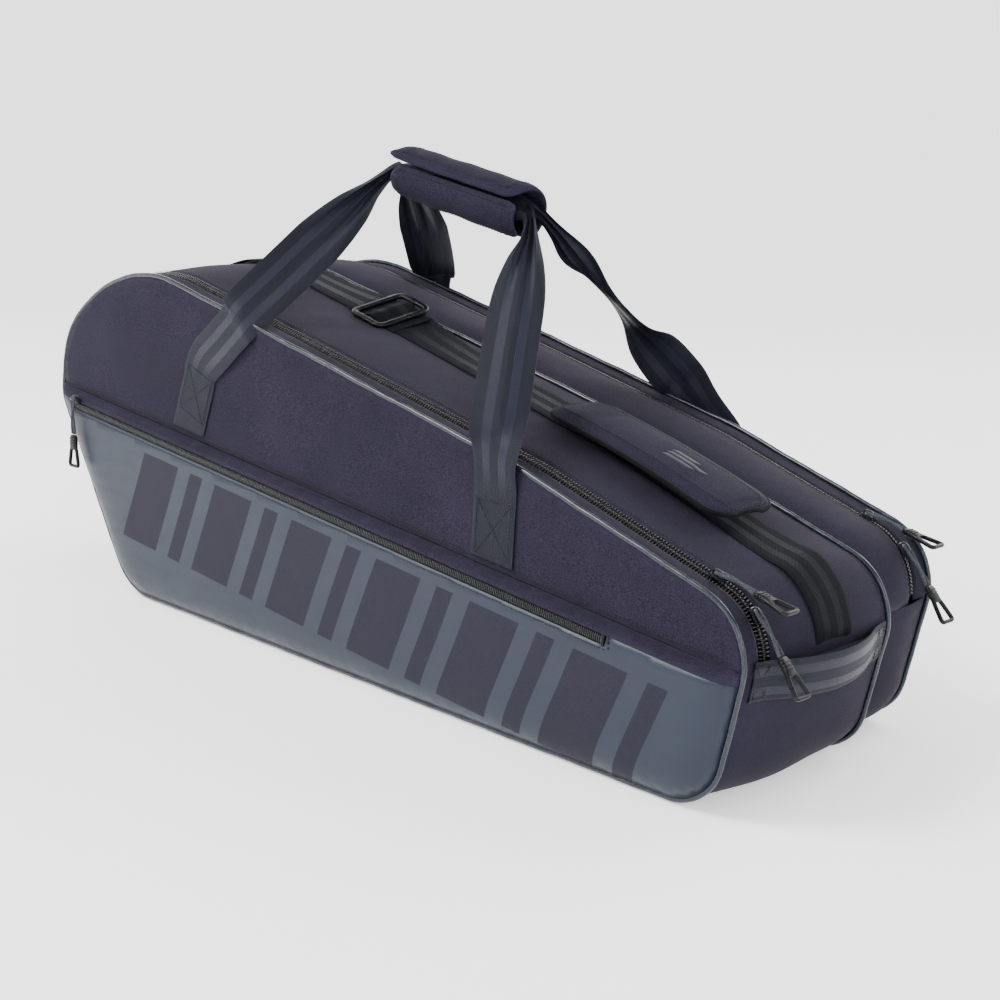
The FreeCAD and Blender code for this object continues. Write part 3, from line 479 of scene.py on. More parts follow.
def melange_material(name, dark, light, weave=2700.0, rough=(0.72, 0.92), sheen=0.03, depth=0.00006):
    """Woven polyester of two yarns, dark with lighter flecks, its edges and ridges made paler by a painted
    highlight.
    """
    shade = Shade(name, Sheen_Weight=sheen, Sheen_Roughness=0.45, Specular_IOR_Level=0.07)
    threads = shade.noise(weave, 1.5, 0.6, shade.stretched((1.0, 1.0, 0.55)))
    flecks = shade.noise(weave * 0.55, 3.0, 0.7, shade.stretched((0.6, 1.0, 1.0)))
    patches = shade.noise(14.0, 3.0, 0.55)
    tone = shade.spread(flecks, 0.38, 0.66)
    colour = shade.blend(tone, dark, light)
    shadow = shade.spread(patches, 0.3, 0.72, 0.84, 1.12)
    grey = shade.node("ShaderNodeCombineColor", {0: shadow, 1: shadow, 2: shadow}).outputs[0]
    colour = shade.blend(1.0, colour, grey, "MULTIPLY")
    # painted highlight: paler colour on convex edges and ridges, standing in for the cloth's sheen
    shade.set("Base Color", shade.blend(shade.painted_edge_highlight(0.54, 0.62, 0.3), colour, times(light, 1.9)))
    shade.set("Roughness", shade.spread(threads, 0.3, 0.7, rough[0], rough[1]))
    shade.bump((patches, 0.0004), (threads, depth), (flecks, depth * 0.8))
    return shade.material


# The printed band on the pocket, in metres: its edges' heights above a line parallel to the zip, its
# ends, its bars' lean, half the repeat of a wide and a narrow bar, and where each begins or ends.
BAND_LOW, BAND_HIGH = 0.027, 0.107
BAND_LEFT, BAND_RIGHT = -0.3045, 0.2775
BAR_LEAN, BAR_REPEAT, WIDE_FROM, NARROW_TO = -0.42, 0.0485, 0.0244, 0.008
INK_EDGE, BAND_END = 0.0006, 0.0001     # how soft the print's edges are


def printed_bars(shade):
    """1 on the slanted bars of the printed band and 0 elsewhere."""
    x, _, z = shade.split(shade.object_place)
    slope = shade.above_slope(x, z)
    lean = shade.math("MULTIPLY_ADD", slope, BAR_LEAN, x)

    def from_edge(value, start, soft):
        return shade.spread(value, start, start + soft)

    def to_edge(value, start, soft):
        return shade.spread(value, start, start + soft, 1.0, 0.0)

    cell = shade.math("PINGPONG", shade.math("ADD", lean, 1.0), BAR_REPEAT)
    bar = shade.math("MAXIMUM", from_edge(cell, WIDE_FROM, INK_EDGE), to_edge(cell, NARROW_TO, INK_EDGE))
    for limit in (from_edge(slope, BAND_LOW, INK_EDGE), to_edge(slope, BAND_HIGH, INK_EDGE),
                  from_edge(lean, BAND_LEFT, BAND_END), to_edge(lean, BAND_RIGHT, BAND_END)):
        bar = shade.math("MULTIPLY", bar, limit)
    return bar


def coated_material(name, base, mark=None):
    """Satin coated cloth with a fine leathery grain; mark is the colour of its printed slanted bars."""
    shade = Shade(name, Specular_IOR_Level=0.25, Coat_Weight=0.04, Coat_Roughness=0.3)
    cells = shade.node("ShaderNodeTexVoronoi", {"Vector": shade.object_place, "Scale": 900.0})
    broad = shade.noise(9.0, 3.0, 0.5)
    scuffs = shade.noise(60.0, 5.0, 0.65, shade.stretched((0.4, 1.0, 1.6)))
    colour = shade.blend(shade.spread(broad, 0.3, 0.7), times(base, 0.88), times(base, 1.12))
    colour = shade.blend(shade.spread(scuffs, 0.58, 0.8, 0.0, 0.25), colour, times(base, 1.5))
    roughness = shade.spread(scuffs, 0.3, 0.75, 0.36, 0.5)
    if mark is not None:
        bar = printed_bars(shade)
        flecks = shade.noise(900.0, 3.0, 0.7)
        ink = shade.blend(shade.spread(flecks, 0.35, 0.68), mark, times(mark, 1.9))
        colour = shade.blend(bar, colour, ink)
        roughness = shade.mix(bar, roughness, 0.72)
    shade.set("Base Color", colour)
    shade.set("Roughness", roughness)
    shade.bump((broad, 0.0008), (scuffs, 0.00025), (cells.outputs["Distance"], 0.00006))
    return shade.material


def webbing_material(name, base, stripe, shine=0.42, specular=0.17, plain_ends=0.0):
    """Ribbed webbing with two paler satin stripes along it."""
    shade = Shade(name, Specular_IOR_Level=specular, Sheen_Weight=0.015, Sheen_Roughness=0.35)
    across, along, _ = shade.split(shade.node("ShaderNodeTexCoord").outputs["UV"])
    off_centre = shade.math("ABSOLUTE", across)
    ribs = shade.math("PINGPONG", shade.math("MULTIPLY_ADD", off_centre, 0.9, along), 0.00062)
    ribs = shade.math("MULTIPLY", ribs, 1600.0)
    cords = shade.math("MULTIPLY", shade.math("PINGPONG", across, 0.0007), 1400.0)
    fibres = shade.noise(2600.0, 2.0, 0.6)
    broad = shade.noise(30.0, 2.0, 0.5)
    from_stripe = shade.math("ABSOLUTE", shade.math("SUBTRACT", off_centre, 0.0075))
    satin = shade.spread(from_stripe, 0.0031, 0.0037, 1.0, 0.0)
    if plain_ends:
        # below this height above the fold's slope, the sewn ends are plainer than the rest
        x, _, z = shade.split(shade.object_place)
        clear = shade.spread(shade.above_slope(x, z), plain_ends, plain_ends + 0.02)
        satin = shade.math("MULTIPLY", satin, clear)
    tone = shade.spread(fibres, 0.3, 0.7)
    plain = shade.blend(tone, times(base, 0.75), times(base, 1.3))
    bright = shade.blend(tone, times(stripe, 0.7), times(stripe, 1.35))
    colour = shade.blend(shade.math("MULTIPLY", satin, 0.85), plain, bright)
    colour = shade.blend(shade.spread(broad, 0.35, 0.7, 0.0, 0.3), colour, times(base, 1.6))
    edge = shade.math("MULTIPLY", shade.spread(off_centre, 0.0187, 0.0199), 0.5)
    shade.set("Base Color", shade.blend(edge, colour, times(base, 2.0)))
    rough = shade.mix(satin, shine + 0.16, shine - 0.06)
    shade.set("Roughness", shade.math("ADD", rough, shade.spread(fibres, 0.3, 0.7, -0.07, 0.07)))
    shade.bump((cords, 0.00012), (ribs, 0.00022), (fibres, 0.00008))
    return shade.material


def plastic_material(name, base, rough=0.3, grain=1400.0, depth=0.00003, metallic=0.0, coat=0.0,
                     specular=0.2):
    """Moulded plastic, painted metal or covered cord, a little scuffed, and paler along its edges with a
    painted highlight.
    """
    shade = Shade(name, Metallic=metallic, Specular_IOR_Level=specular, Coat_Weight=coat,
                  Coat_Roughness=0.15)
    fine = shade.noise(grain, 3.0, 0.6)
    broad = shade.noise(80.0, 4.0, 0.6)
    colour = shade.blend(shade.spread(broad, 0.3, 0.75), times(base, 0.82), times(base, 1.2))
    # painted highlight: paler colour along convex edges, where they catch the light
    shade.set("Base Color", shade.blend(shade.painted_edge_highlight(0.53, 0.62, 0.5), colour, times(base, 2.2)))
    shade.set("Roughness", shade.spread(broad, 0.3, 0.75, rough - 0.07, rough + 0.12))
    shade.bump((broad, 0.0001), (fine, depth))
    return shade.material


WEB_DARK, WEB_STRIPE = (0.0042, 0.0048, 0.0108), (0.0135, 0.0148, 0.0262)
BLACK_PLASTIC = (0.0026, 0.0027, 0.0034)
fabric = melange_material("bag_fabric", (0.0062, 0.0052, 0.0108), (0.0215, 0.018, 0.034))
wrap_fabric = melange_material("wrap_fabric", (0.005, 0.0043, 0.0096), (0.0205, 0.0175, 0.035),
                               weave=2100.0, depth=0.0001)
lining = melange_material("lining", (0.008, 0.0082, 0.0096), (0.02, 0.0205, 0.0235), weave=1900.0)
board_material = plastic_material("board", (0.03, 0.03, 0.033), rough=0.55, grain=700.0, depth=0.0001)
pocket_material = coated_material("pocket_coated", (0.0096, 0.0145, 0.0265), mark=(0.0036, 0.0029, 0.0096))
print_material = coated_material("print_slate", (0.0095, 0.0135, 0.018))
piping_material = plastic_material("piping", (0.0075, 0.0105, 0.0185), rough=0.22, coat=0.2, depth=0.00005,
                                   specular=0.3)
tape_material = melange_material("zip_tape", (0.001, 0.001, 0.0014), (0.004, 0.004, 0.005),
                                 weave=2200.0, depth=0.0001)
coil_material = plastic_material("zip_coil", (0.0032, 0.0032, 0.0046), rough=0.22, specular=0.34)
grab_webbing = webbing_material("webbing", WEB_DARK, WEB_STRIPE)
handle_webbing = webbing_material("handle_webbing", WEB_DARK, WEB_STRIPE, plain_ends=0.183)
strap_webbing = webbing_material("strap_webbing", (0.0022, 0.0024, 0.0046), (0.0029, 0.0032, 0.0058),
                                 shine=0.5, specular=0.045)
thread_material = plastic_material("thread", (0.0022, 0.0021, 0.0034), rough=0.5, grain=4000.0,
                                   depth=0.00008)
metal_material = plastic_material("slider_metal", (0.03, 0.031, 0.036), metallic=0.75)
cord_material = melange_material("puller_cord", (0.02, 0.022, 0.028), (0.075, 0.082, 0.098),
                                 weave=3200.0, sheen=0.05)
tab_material = plastic_material("puller_tab", BLACK_PLASTIC, rough=0.34)
buckle_material = plastic_material("buckle", BLACK_PLASTIC, grain=900.0, depth=0.00006)
binding_material = melange_material("binding", (0.0018, 0.0018, 0.0026), (0.0065, 0.0065, 0.0085),
                                    weave=1700.0)


# ---------------------------------------------------------------- the bag's shell
# Each swell, pucker or crease below is a depth in millimetres times a smooth curve over a distance.
PIPE_R = 1.9
TUCK = 1.3              # how far a panel's edge lies inside the piping's centre
EDGE_Y = 0.9            # how far a panel's edge lies in front of the piping's centre
FLOOR_Z = -2.2          # lowest that the shell's cloth may reach


def distance_to(points, path):
    """Distance of points (n, 2) from an open or closed path of points."""
    a, b = path[:-1], path[1:]
    span = b - a
    length = np.maximum(np.sum(span * span, axis=1), 1e-9)
    best = np.full(len(points), 1e9)
    for start in range(0, len(points), 2000):
        part = points[start:start + 2000]
        t = np.clip(np.einsum("nmk,mk->nm", part[:, None] - a[None], span) / length, 0, 1)
        gap = part[:, None] - (a[None] + t[..., None] * span[None])
        best[start:start + 2000] = np.sqrt(np.min(np.sum(gap * gap, axis=2), axis=1))
    return best


def inside(points, loop):
    """Whether each point is inside a closed loop."""
    result = np.zeros(len(points), bool)
    for (x0, z0), (x1, z1) in zip(loop, np.roll(loop, -1, axis=0)):
        crosses = (z0 > points[:, 1]) != (z1 > points[:, 1])
        if z1 != z0:
            result ^= crosses & (points[:, 0] < (x1 - x0) * (points[:, 1] - z0) / (z1 - z0) + x0)
    return result


def filled(loop, spacing):
    """Even triangles over the inside of a flat loop."""
    low, high = loop.min(axis=0), loop.max(axis=0)
    xs = np.arange(low[0], high[0], spacing)
    zs = np.arange(low[1], high[1], spacing * 0.87)
    grid = np.array([(x + (row % 2) * spacing / 2, z) for row, z in enumerate(zs) for x in xs])
    grid = grid[inside(grid, loop)]
    grid = grid[distance_to(grid, np.vstack((loop, loop[:1]))) > spacing * 0.55]
    points = np.vstack((loop, grid))
    count = len(loop)
    edges = [(k, (k + 1) % count) for k in range(count)]
    made = delaunay_2d_cdt([Vector(p) for p in points], edges, [], 1, 1e-4)
    return np.array([tuple(p) for p in made[0]]), [list(face) for face in made[2]]


def fold_line(from_x, to_x, drop, step=6.0):
    xs = np.linspace(from_x, to_x, max(2, int(abs(to_x - from_x) / step)))
    return np.stack((xs, fold_z(xs) - drop), -1)


def fold_ends(outline, drop, inset):
    """Where a line parallel to the fold meets the inset outline: (left x, right x)."""
    loop = outline.points - outline.normals * inset
    height = loop[:, 1] - (fold_z(loop[:, 0]) - drop)
    turns = np.nonzero((height[:-1] > 0) != (height[1:] > 0))[0]
    xs = [loop[k, 0] + (loop[k + 1, 0] - loop[k, 0]) * height[k] / (height[k] - height[k + 1]) for k in turns]
    return min(xs), max(xs)


def outline_arc(outline, upper, drop=0.0, step=4.0):
    """The part of the tucked outline that is above or below a line parallel to the fold."""
    place, normal = outline.at(np.arange(0, outline.length, step))
    place = place - normal * TUCK
    height = place[:, 1] - (fold_z(place[:, 0]) - drop)
    keep = height > 0.4 if upper else height < -0.4
    return np.roll(place, -np.argmax(keep & ~np.roll(keep, 1)), axis=0)[:keep.sum()]


def crown(outline, points):
    """How far the front or rear face swells, from its distance to the piping."""
    gap = distance_to(points, outline.points)
    deep = np.clip(gap - TUCK, 0, None)
    swell = 2.3 * (1 - np.exp(-deep / 26.0))
    wander = flat_ripple(points, 60, 3) * 2.0
    pucker = np.exp(-((deep - 5) / 6.0) ** 2) * 0.28 * np.sin(points[:, 0] / 2.3 + wander)
    soft = flat_ripple(points, 150, 11) * 0.7 * (1 - np.exp(-deep / 40.0))
    return swell + pucker + soft


def facing(points, faces, face, way):
    """The faces, all turned over if the one given doesn't look along way."""
    a, b, c = (points[k] for k in face[:3])
    return [f[::-1] for f in faces] if np.cross(b - a, c - a) @ way < 0 else faces


def face_panel(name, outline, sign, upper, squeeze=1.0):
    """The lid or the lower panel of one face; a squeezed one is held flatter by what lies on it."""
    left, right = fold_ends(outline, 0.0, TUCK)
    line = fold_line(left, right, 0.0) if upper else fold_line(right, left, 0.0)
    flat, faces = filled(np.vstack((outline_arc(outline, upper), line)), 6.0)
    swell = crown(outline, flat) * squeeze
    seam = np.abs(flat[:, 1] - fold_z(flat[:, 0]))
    swell -= 0.9 * np.exp(-(seam / 3.0) ** 2) * (squeeze > 0.5)
    points = np.column_stack((flat[:, 0], sign * (abs(FRONT_Y) + EDGE_Y + swell), flat[:, 1]))
    faces = facing(points, faces, faces[0], (0, sign, 0))
    return thicken(add_piece(name, points, faces, fabric), FABRIC, lining)


def gusset_bulge(outline, s):
    """How far the band between two seams swells at distance s: most at the bag's ends."""
    normal = outline.at(s)[1]
    end = np.clip(np.abs(normal[:, 0]) * 1.15, 0, 1)
    return np.where(normal[:, 1] > 0, 4.2, 1.4) * (1 - end) + 4.4 * end


def gusset_piece(name, outline, near_y, far_y, upper, seam_near, seam_far, step=5.0, swell=None, seed=1):
    """A band of the shell between two depths.  A side that meets piping tucks under it, and a
    side that meets a zip stops at a folded edge."""
    s = outline.span(upper, step)
    columns = max(6, int(abs(far_y - near_y) / step) + 1)
    t = (1 - np.cos(np.linspace(0, math.pi, columns))) / 2
    t = 0.5 * t + 0.5 * np.linspace(0, 1, columns)
    y = near_y + (far_y - near_y) * t
    s_grid, y_grid = np.meshgrid(s, y, indexing="ij")
    shape = 1 - np.abs(2 * t - 1) ** 2.6
    edge = seam_near + (seam_far - seam_near) * t
    bulge = gusset_bulge(outline, s) if swell is None else np.full(len(s), swell)
    offset = edge[None] + (bulge[:, None] - edge[None]) * shape[None]
    place = outline.lift(s_grid, y_grid, offset).reshape(-1, 3)
    ends = np.clip(np.abs(outline.at(s_grid)[1][..., 0]), 0, 1)
    soft = ripple(place, 110, seed).reshape(offset.shape) * (0.35 + 1.1 * ends) * shape[None]
    fine = ripple(place, 26, seed + 5).reshape(offset.shape) * 0.16 * shape[None]
    from_seam = np.minimum(np.abs(y_grid - near_y), np.abs(y_grid - far_y))
    pucker = 0.25 * np.exp(-(from_seam / 7.0) ** 2) * np.sin(s_grid / 1.9 + 1.5 * np.sin(s_grid / 23.0))
    pucker *= from_seam > 0.5
    points = outline.lift(s_grid, y_grid, offset + soft + fine + pucker).reshape(-1, 3)
    points[:, 2] = np.maximum(points[:, 2], FLOOR_Z)
    faces = grid_faces(len(s), columns)
    # the outside faces away from the bag
    middle = faces[len(faces) // 2]
    start = points[middle[0]]
    faces = facing(points, faces, middle, start - np.array((0.0, start[1], 120.0)))
    return thicken(add_piece(name, points, faces, fabric), FABRIC, lining)


def piping_piece(name, outline, y, s, closed=False):
    """Covered cord on a seam, wavering a little."""
    angles = np.arange(14) * 2 * math.pi / 14
    waver = 0.18 * np.sin(s / 17.0) + 0.12 * np.sin(s / 6.1 + 1)
    thick = PIPE_R * (1 + 0.025 * np.sin(s / 2.6) + 0.02 * np.sin(s / 0.9))
    section = np.stack((thick[:, None] * np.cos(angles)[None], thick[:, None] * np.sin(angles)[None]), -1)
    points, faces = section_sweep(outline.lift(s, y, waver), each((0.0, 1.0, 0.0), s), outline.out(s),
                                  section, closed=closed)
    return add_piece(name, points, [face[::-1] for face in faces], piping_material, sharp=80)


ZIP_OFFSET = -0.6       # of a zip's middle from the outline
ZIP_TILT = 0.36         # the side of a zip nearer the middle of the bag stands higher
ZIP_GAP = 4.9           # from the middle of a zip to each folded fabric edge
ZIP_PITCH = 2.6         # from tooth to tooth along one half
TAPE_EDGES = (0.25, 4.6, 11.0)
TOOTH_MIDDLE = 1.5
LID_EDGE, TOP_EDGE = -1.3, 1.0      # how high each folded edge stands
STITCHES_IN = 2.6       # from a folded edge to its stitches


def on_lid(piece, side, sign, slot, *nodes):
    """Bake the piece's placement into its points and stand for CAD nodes."""
    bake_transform(piece)
    if nodes:
        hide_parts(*nodes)


def zip_half(name, outline, toward, y, half=0):
    """Tape and coil of one half of a zip.  toward is +1 for the half on the larger y."""
    s = outline.span(True, 5.0, 3.0)
    edges = np.array(TAPE_EDGES) * toward
    inward = -np.sign(y)
    tilt = ZIP_TILT * inward * np.clip(edges, -TAPE_EDGES[1], TAPE_EDGES[1])
    rise = ZIP_OFFSET + tilt + np.zeros((len(s), 3))
    low = outline.lift(*np.meshgrid(s, edges + y, indexing="ij"), rise - 1.3)
    high = outline.lift(*np.meshgrid(s, edges[::-1] + y, indexing="ij"), rise[:, ::-1] - 0.75)
    ring = np.concatenate((low, high), axis=1)
    faces = grid_faces(len(s), 6, closed_columns=True)
    faces += [list(range(6)), [(len(s) - 1) * 6 + k for k in range(6)][::-1]]
    tape = add_piece("tape", ring.reshape(-1, 3), faces, tape_material, flat=True)
    s = outline.span(True, ZIP_PITCH, 6.0)[:-1] + half * ZIP_PITCH / 2
    offset = ZIP_OFFSET + ZIP_TILT * inward * toward * TOOTH_MIDDLE + np.zeros(len(s))
    places = outline.lift(s, np.full(len(s), y + toward * TOOTH_MIDDLE), offset)
    up = outline.out(s)
    along = np.array((0.0, 1.0, 0.0)) + up * ZIP_TILT * inward
    points, faces = beads(places, along, up, 5.0, 0.98, flatten=1.1)
    return merge(name, tape, add_piece("coil", points, faces, coil_material, sharp=80))


def merge(name, *pieces):
    """One object of several, keeping their materials."""
    first = pieces[0]
    with bpy.context.temp_override(active_object=first, selected_editable_objects=list(pieces)):
        bpy.ops.object.join()
    first.name = first.data.name = name
    return first


def seam_stitches(name, outline, y, offset):
    s = outline.span(True, 6.0, 12.0)
    path = outline.lift(s, np.full(len(s), float(y)), np.full(len(s), float(offset)))
    return joined_piece(name, [stitch_line(path, outline.out(s))], thread_material)


for side, sign, outline, squeeze, top_seed, bottom_seed in (("front", -1.0, front_outline, 0.25, 21, 45),
                                                            ("rear", 1.0, rear_outline, 1.0, 33, 57)):
    face_y, seam_y = sign * abs(FRONT_Y), sign * (abs(FRONT_Y) - EDGE_Y)
    inner_y, zip_y = CENTRE_Y + sign * EDGE_Y, sign * ZIP_Y
    on_lid(face_panel(side + "_lid_face", outline, sign, True), side, sign, "panel_fabric",
           side + "_lid_panel")
    settle(face_panel(side + "_lower_face", outline, sign, False, squeeze), "bag", "panel_fabric",
           side + "_lower_panel")
    strip = gusset_piece(side + "_lid_band", outline, seam_y, zip_y + sign * ZIP_GAP, True, -TUCK, LID_EDGE,
                         step=4.0, swell=-0.9, seed=2)
    on_lid(strip, side, sign, "panel_fabric", side + "_lid_strip")
    top = gusset_piece(side + "_top_band", outline, zip_y - sign * ZIP_GAP, inner_y, True, TOP_EDGE, -TUCK,
                       seed=top_seed)
    settle(top, "bag", "panel_fabric", side + "_top_gusset")
    bottom = gusset_piece(side + "_bottom_band", outline, seam_y, inner_y, False, -TUCK, -TUCK,
                          seed=bottom_seed)
    settle(bottom, "bag", "panel_fabric", side + "_bottom_gusset")
    on_lid(piping_piece(side + "_lid_pipe", outline, face_y, outline.span(True, 2.6)), side, sign, "piping",
           side + "_lid_piping")
    settle(piping_piece(side + "_lower_pipe", outline, face_y, outline.span(False, 2.6)), "bag", "piping",
           side + "_lower_piping")
    on_lid(zip_half(side + "_zip_outer", outline, sign, zip_y), side, sign, "zip_coil", side + "_zip_lid")
    settle(zip_half(side + "_zip_inner", outline, -sign, zip_y, half=1), "bag", "zip_coil",
           side + "_zip_body")
    from_zip = sign * (ZIP_GAP + STITCHES_IN)
    on_lid(seam_stitches(side + "_lid_stitches", outline, zip_y + from_zip, LID_EDGE + 0.4), side, sign,
           "panel_fabric")
    settle(seam_stitches(side + "_top_stitches", outline, zip_y - from_zip, TOP_EDGE + 1.3), "bag",
           "panel_fabric")

whole = np.arange(0, front_outline.length, 2.6)
settle(piping_piece("centre_pipe", front_outline, CENTRE_Y, whole, closed=True), "bag", "piping",
       "centre_piping")


# ---------------------------------------------------------------- the flat pocket on the front
POCKET_FACE = 133.75    # how far forward the pocket's cloth stands, and its edge
POCKET_BASE = 124.7
ZIP_DROP = 11.5         # middle of the pocket's zip below the fold
ZIP_LEFT, ZIP_RIGHT = -346.0, 273.0
POCKET_GAP = 3.6        # from the middle of that zip to each folded edge
TAPE_Y, TEETH_Y, STOP_Y = 132.35, 133.55, -133.9
FORWARD = (0, -1, 0)


def pocket_depth(points):
    """How far forward the pocket's cloth stands at each (x, z)."""
    gap = np.clip(distance_to(points, front_outline.points) - TUCK, 0, None)
    drop = fold_z(points[:, 0]) - points[:, 1]
    round_edge = 1 - np.exp(-gap / 9.0)
    low = ease(drop, 30, 120)
    soft = flat_ripple(points, 170, 71) * 0.9 * ease(drop, 20, 60) * ease(gap, 5, 50)
    pucker = np.exp(-((gap - 5) / 5.0) ** 2) * 0.35 * np.sin((points[:, 0] + points[:, 1]) / 2.6)
    depth = POCKET_BASE + (POCKET_FACE - POCKET_BASE) * round_edge * ease(drop, -0.5, 7.0)
    return depth + soft - 0.5 * low * round_edge + pucker


def pocket_sheet(name, loop, spacing, material):
    flat, faces = filled(loop, spacing)
    points = np.column_stack((flat[:, 0], -pocket_depth(flat), flat[:, 1]))
    faces = facing(points, faces, faces[0], FORWARD)
    return thicken(add_piece(name, points, faces, material), FABRIC, lining)


def pocket_line(drop, depth=None, step=6.0, left=ZIP_LEFT, right=ZIP_RIGHT):
    flat = fold_line(left, right, drop, step)
    y = -pocket_depth(flat) if depth is None else np.full(len(flat), -depth)
    return np.column_stack((flat[:, 0], y, flat[:, 1]))


def pocket():
    # strip of the bag's own cloth above the zip
    left, right = fold_ends(front_outline, 0.6, TUCK)
    low_left, low_right = fold_ends(front_outline, ZIP_DROP - POCKET_GAP, TUCK)
    loop = np.vstack((fold_line(left, right, 0.6, 5.0),
                      fold_line(low_right, low_left, ZIP_DROP - POCKET_GAP, 5.0)))
    settle(pocket_sheet("pocket_band", loop, 2.6, fabric), "bag", "panel_fabric")
    # coated front, its top edge stepping down along the zip
    top, under = ZIP_DROP - POCKET_GAP + 0.05, ZIP_DROP + POCKET_GAP
    left, right = fold_ends(front_outline, top, TUCK)
    loop = np.vstack((outline_arc(front_outline, False, top), fold_line(right, ZIP_RIGHT + 2, top),
                      fold_line(ZIP_RIGHT, ZIP_LEFT, under), fold_line(ZIP_LEFT - 2, left, top)))
    settle(pocket_sheet("pocket_face", loop, 6.0, pocket_material), "bag", "coated_fabric", "pocket_front")
    # zip: tape below, two rows of teeth that mesh, and a stop at each end
    tape_top, tape_low = pocket_line(ZIP_DROP - 4.6, TAPE_Y), pocket_line(ZIP_DROP + 9.5, TAPE_Y)
    ring = np.stack((tape_top, tape_low, tape_low + (0, 0.6, 0), tape_top + (0, 0.6, 0)), axis=1)
    faces = grid_faces(len(ring), 4, closed_columns=True)
    faces += [[0, 1, 2, 3], [(len(ring) - 1) * 4 + k for k in (3, 2, 1, 0)]]
    tape = add_piece("tape", ring.reshape(-1, 3), faces, tape_material, flat=True)
    rise = unit((FOLD_SLOPE, 0.0, 1.0))
    rows = []
    for half in (0, 1):
        middle = pocket_line(ZIP_DROP, TEETH_Y, 1.7, ZIP_LEFT + 4 + half * 0.85, ZIP_RIGHT - 3)
        places = middle + rise * (1 - 2 * half) * 1.05
        rows.append(beads(places, each(rise, places), each(FORWARD, places), 3.7, 0.6))
    coil = joined_piece("coil", rows, coil_material, sharp=80)
    ends = [beads([(x, STOP_Y, float(fold_z(x)) - ZIP_DROP)], [rise], [FORWARD], 8.5, 1.3, flatten=0.6)
            for x in (ZIP_LEFT + 1.5, ZIP_RIGHT - 1.5)]
    stops = joined_piece("stops", ends, thread_material, sharp=80)
    settle(merge("pocket_zip_coil", tape, coil, stops), "bag", "zip_coil", "pocket_zip")
    # stitches above and below the zip, and across its ends
    rows = [stitch_line(pocket_line(drop) - (0, 0.15, 0), FORWARD)
            for drop in (ZIP_DROP - POCKET_GAP - 2.4, ZIP_DROP + POCKET_GAP + 2.4)]
    drops = np.linspace(ZIP_DROP - 5, ZIP_DROP + 5.5, 6)
    for x in (ZIP_LEFT - 3.5, ZIP_RIGHT + 3.5):
        flat = np.stack((np.full(6, x), fold_z(x) - drops), -1)
        line = np.column_stack((flat[:, 0], -pocket_depth(flat) - 0.15, flat[:, 1]))
        rows.append(stitch_line(line, FORWARD))
    settle(joined_piece("pocket_stitches", rows, thread_material), "bag", "coated_fabric")


pocket()


def fold_stitches(side, sign, outline, above=4.2):
    """Topstitching just above the fold."""
    left, right = fold_ends(outline, -above, 6.0)
    flat = fold_line(left, right, -above)
    y = sign * (abs(FRONT_Y) + EDGE_Y + crown(outline, flat) + 0.1)
    row = stitch_line(np.column_stack((flat[:, 0], y, flat[:, 1])), (0, sign, 0))
    on_lid(joined_piece(side + "_fold_stitches", [row], thread_material), side, sign, "panel_fabric")


fold_stitches("front", -1.0, front_outline)
fold_stitches("rear", 1.0, rear_outline)


# ---------------------------------------------------------------- inside
DIVIDER_INSET = 6.5     # as the divider is cut in the CAD model


def divider():
    loop = front_outline.points[::14] - front_outline.normals[::14] * DIVIDER_INSET
    flat, faces = filled(loop, 11.0)
    gap = distance_to(flat, np.vstack((loop, loop[:1])))
    wave = flat_ripple(flat, 210, 91) * 2.6 * ease(gap, 2, 60)
    points = np.column_stack((flat[:, 0], CENTRE_Y + wave, flat[:, 1]))
    settle(thicken(add_piece("divider_sheet", points, faces, lining), 1.1), "bag", "lining", "divider")


divider()
for side in ("front", "rear"):
    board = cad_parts[side + "_base_board"]
    board.data.materials.clear()
    board.data.materials.append(board_material)


# ---------------------------------------------------------------- carry handles
GRIP = np.array((-4.0, 0.0, 355.0))     # middle of the wrap
GRIP_TILT = math.radians(9.6)
GRIP_WAY = np.array((math.cos(GRIP_TILT), 0.0, -math.sin(GRIP_TILT)))
GRIP_UP = np.array((math.sin(GRIP_TILT), 0.0, math.cos(GRIP_TILT)))
GRIP_HALF = 78.0        # from there to where the legs come together
FOOT_LEFT, FOOT_RIGHT = np.array((-166.0, 0.0, 211.0)), np.array((163.0, 0.0, 170.0))
FOOT_TILT = 20.0        # lean of the left patches, in degrees; the right ones are upright
PATCH_LONG = 56.0
PATCH_ROWS = (1.28, 1.0, 0.66, 0.33)    # places down a patch, as shares of its length
TUBE_HALF = 52.0        # half the length over which the webbing is rolled to a tube in the wrap
WEBBING_CLEAR = 5.5     # how far above the fold the webbing's ends stop
TWIST_WAY = np.array((0.682, -0.695, 0.229))    # the twisted leg is edge on to this direction
FINE_STITCH = {"spacing": 3.2, "length": 2.4, "radius": 0.36}


def surface_y(outline, x, z):
    return abs(FRONT_Y) + EDGE_Y + float(crown(outline, np.array([[x, z]]))[0])


def lean_way(angle):
    return np.array((math.cos(angle), 0.0, -math.sin(angle)))


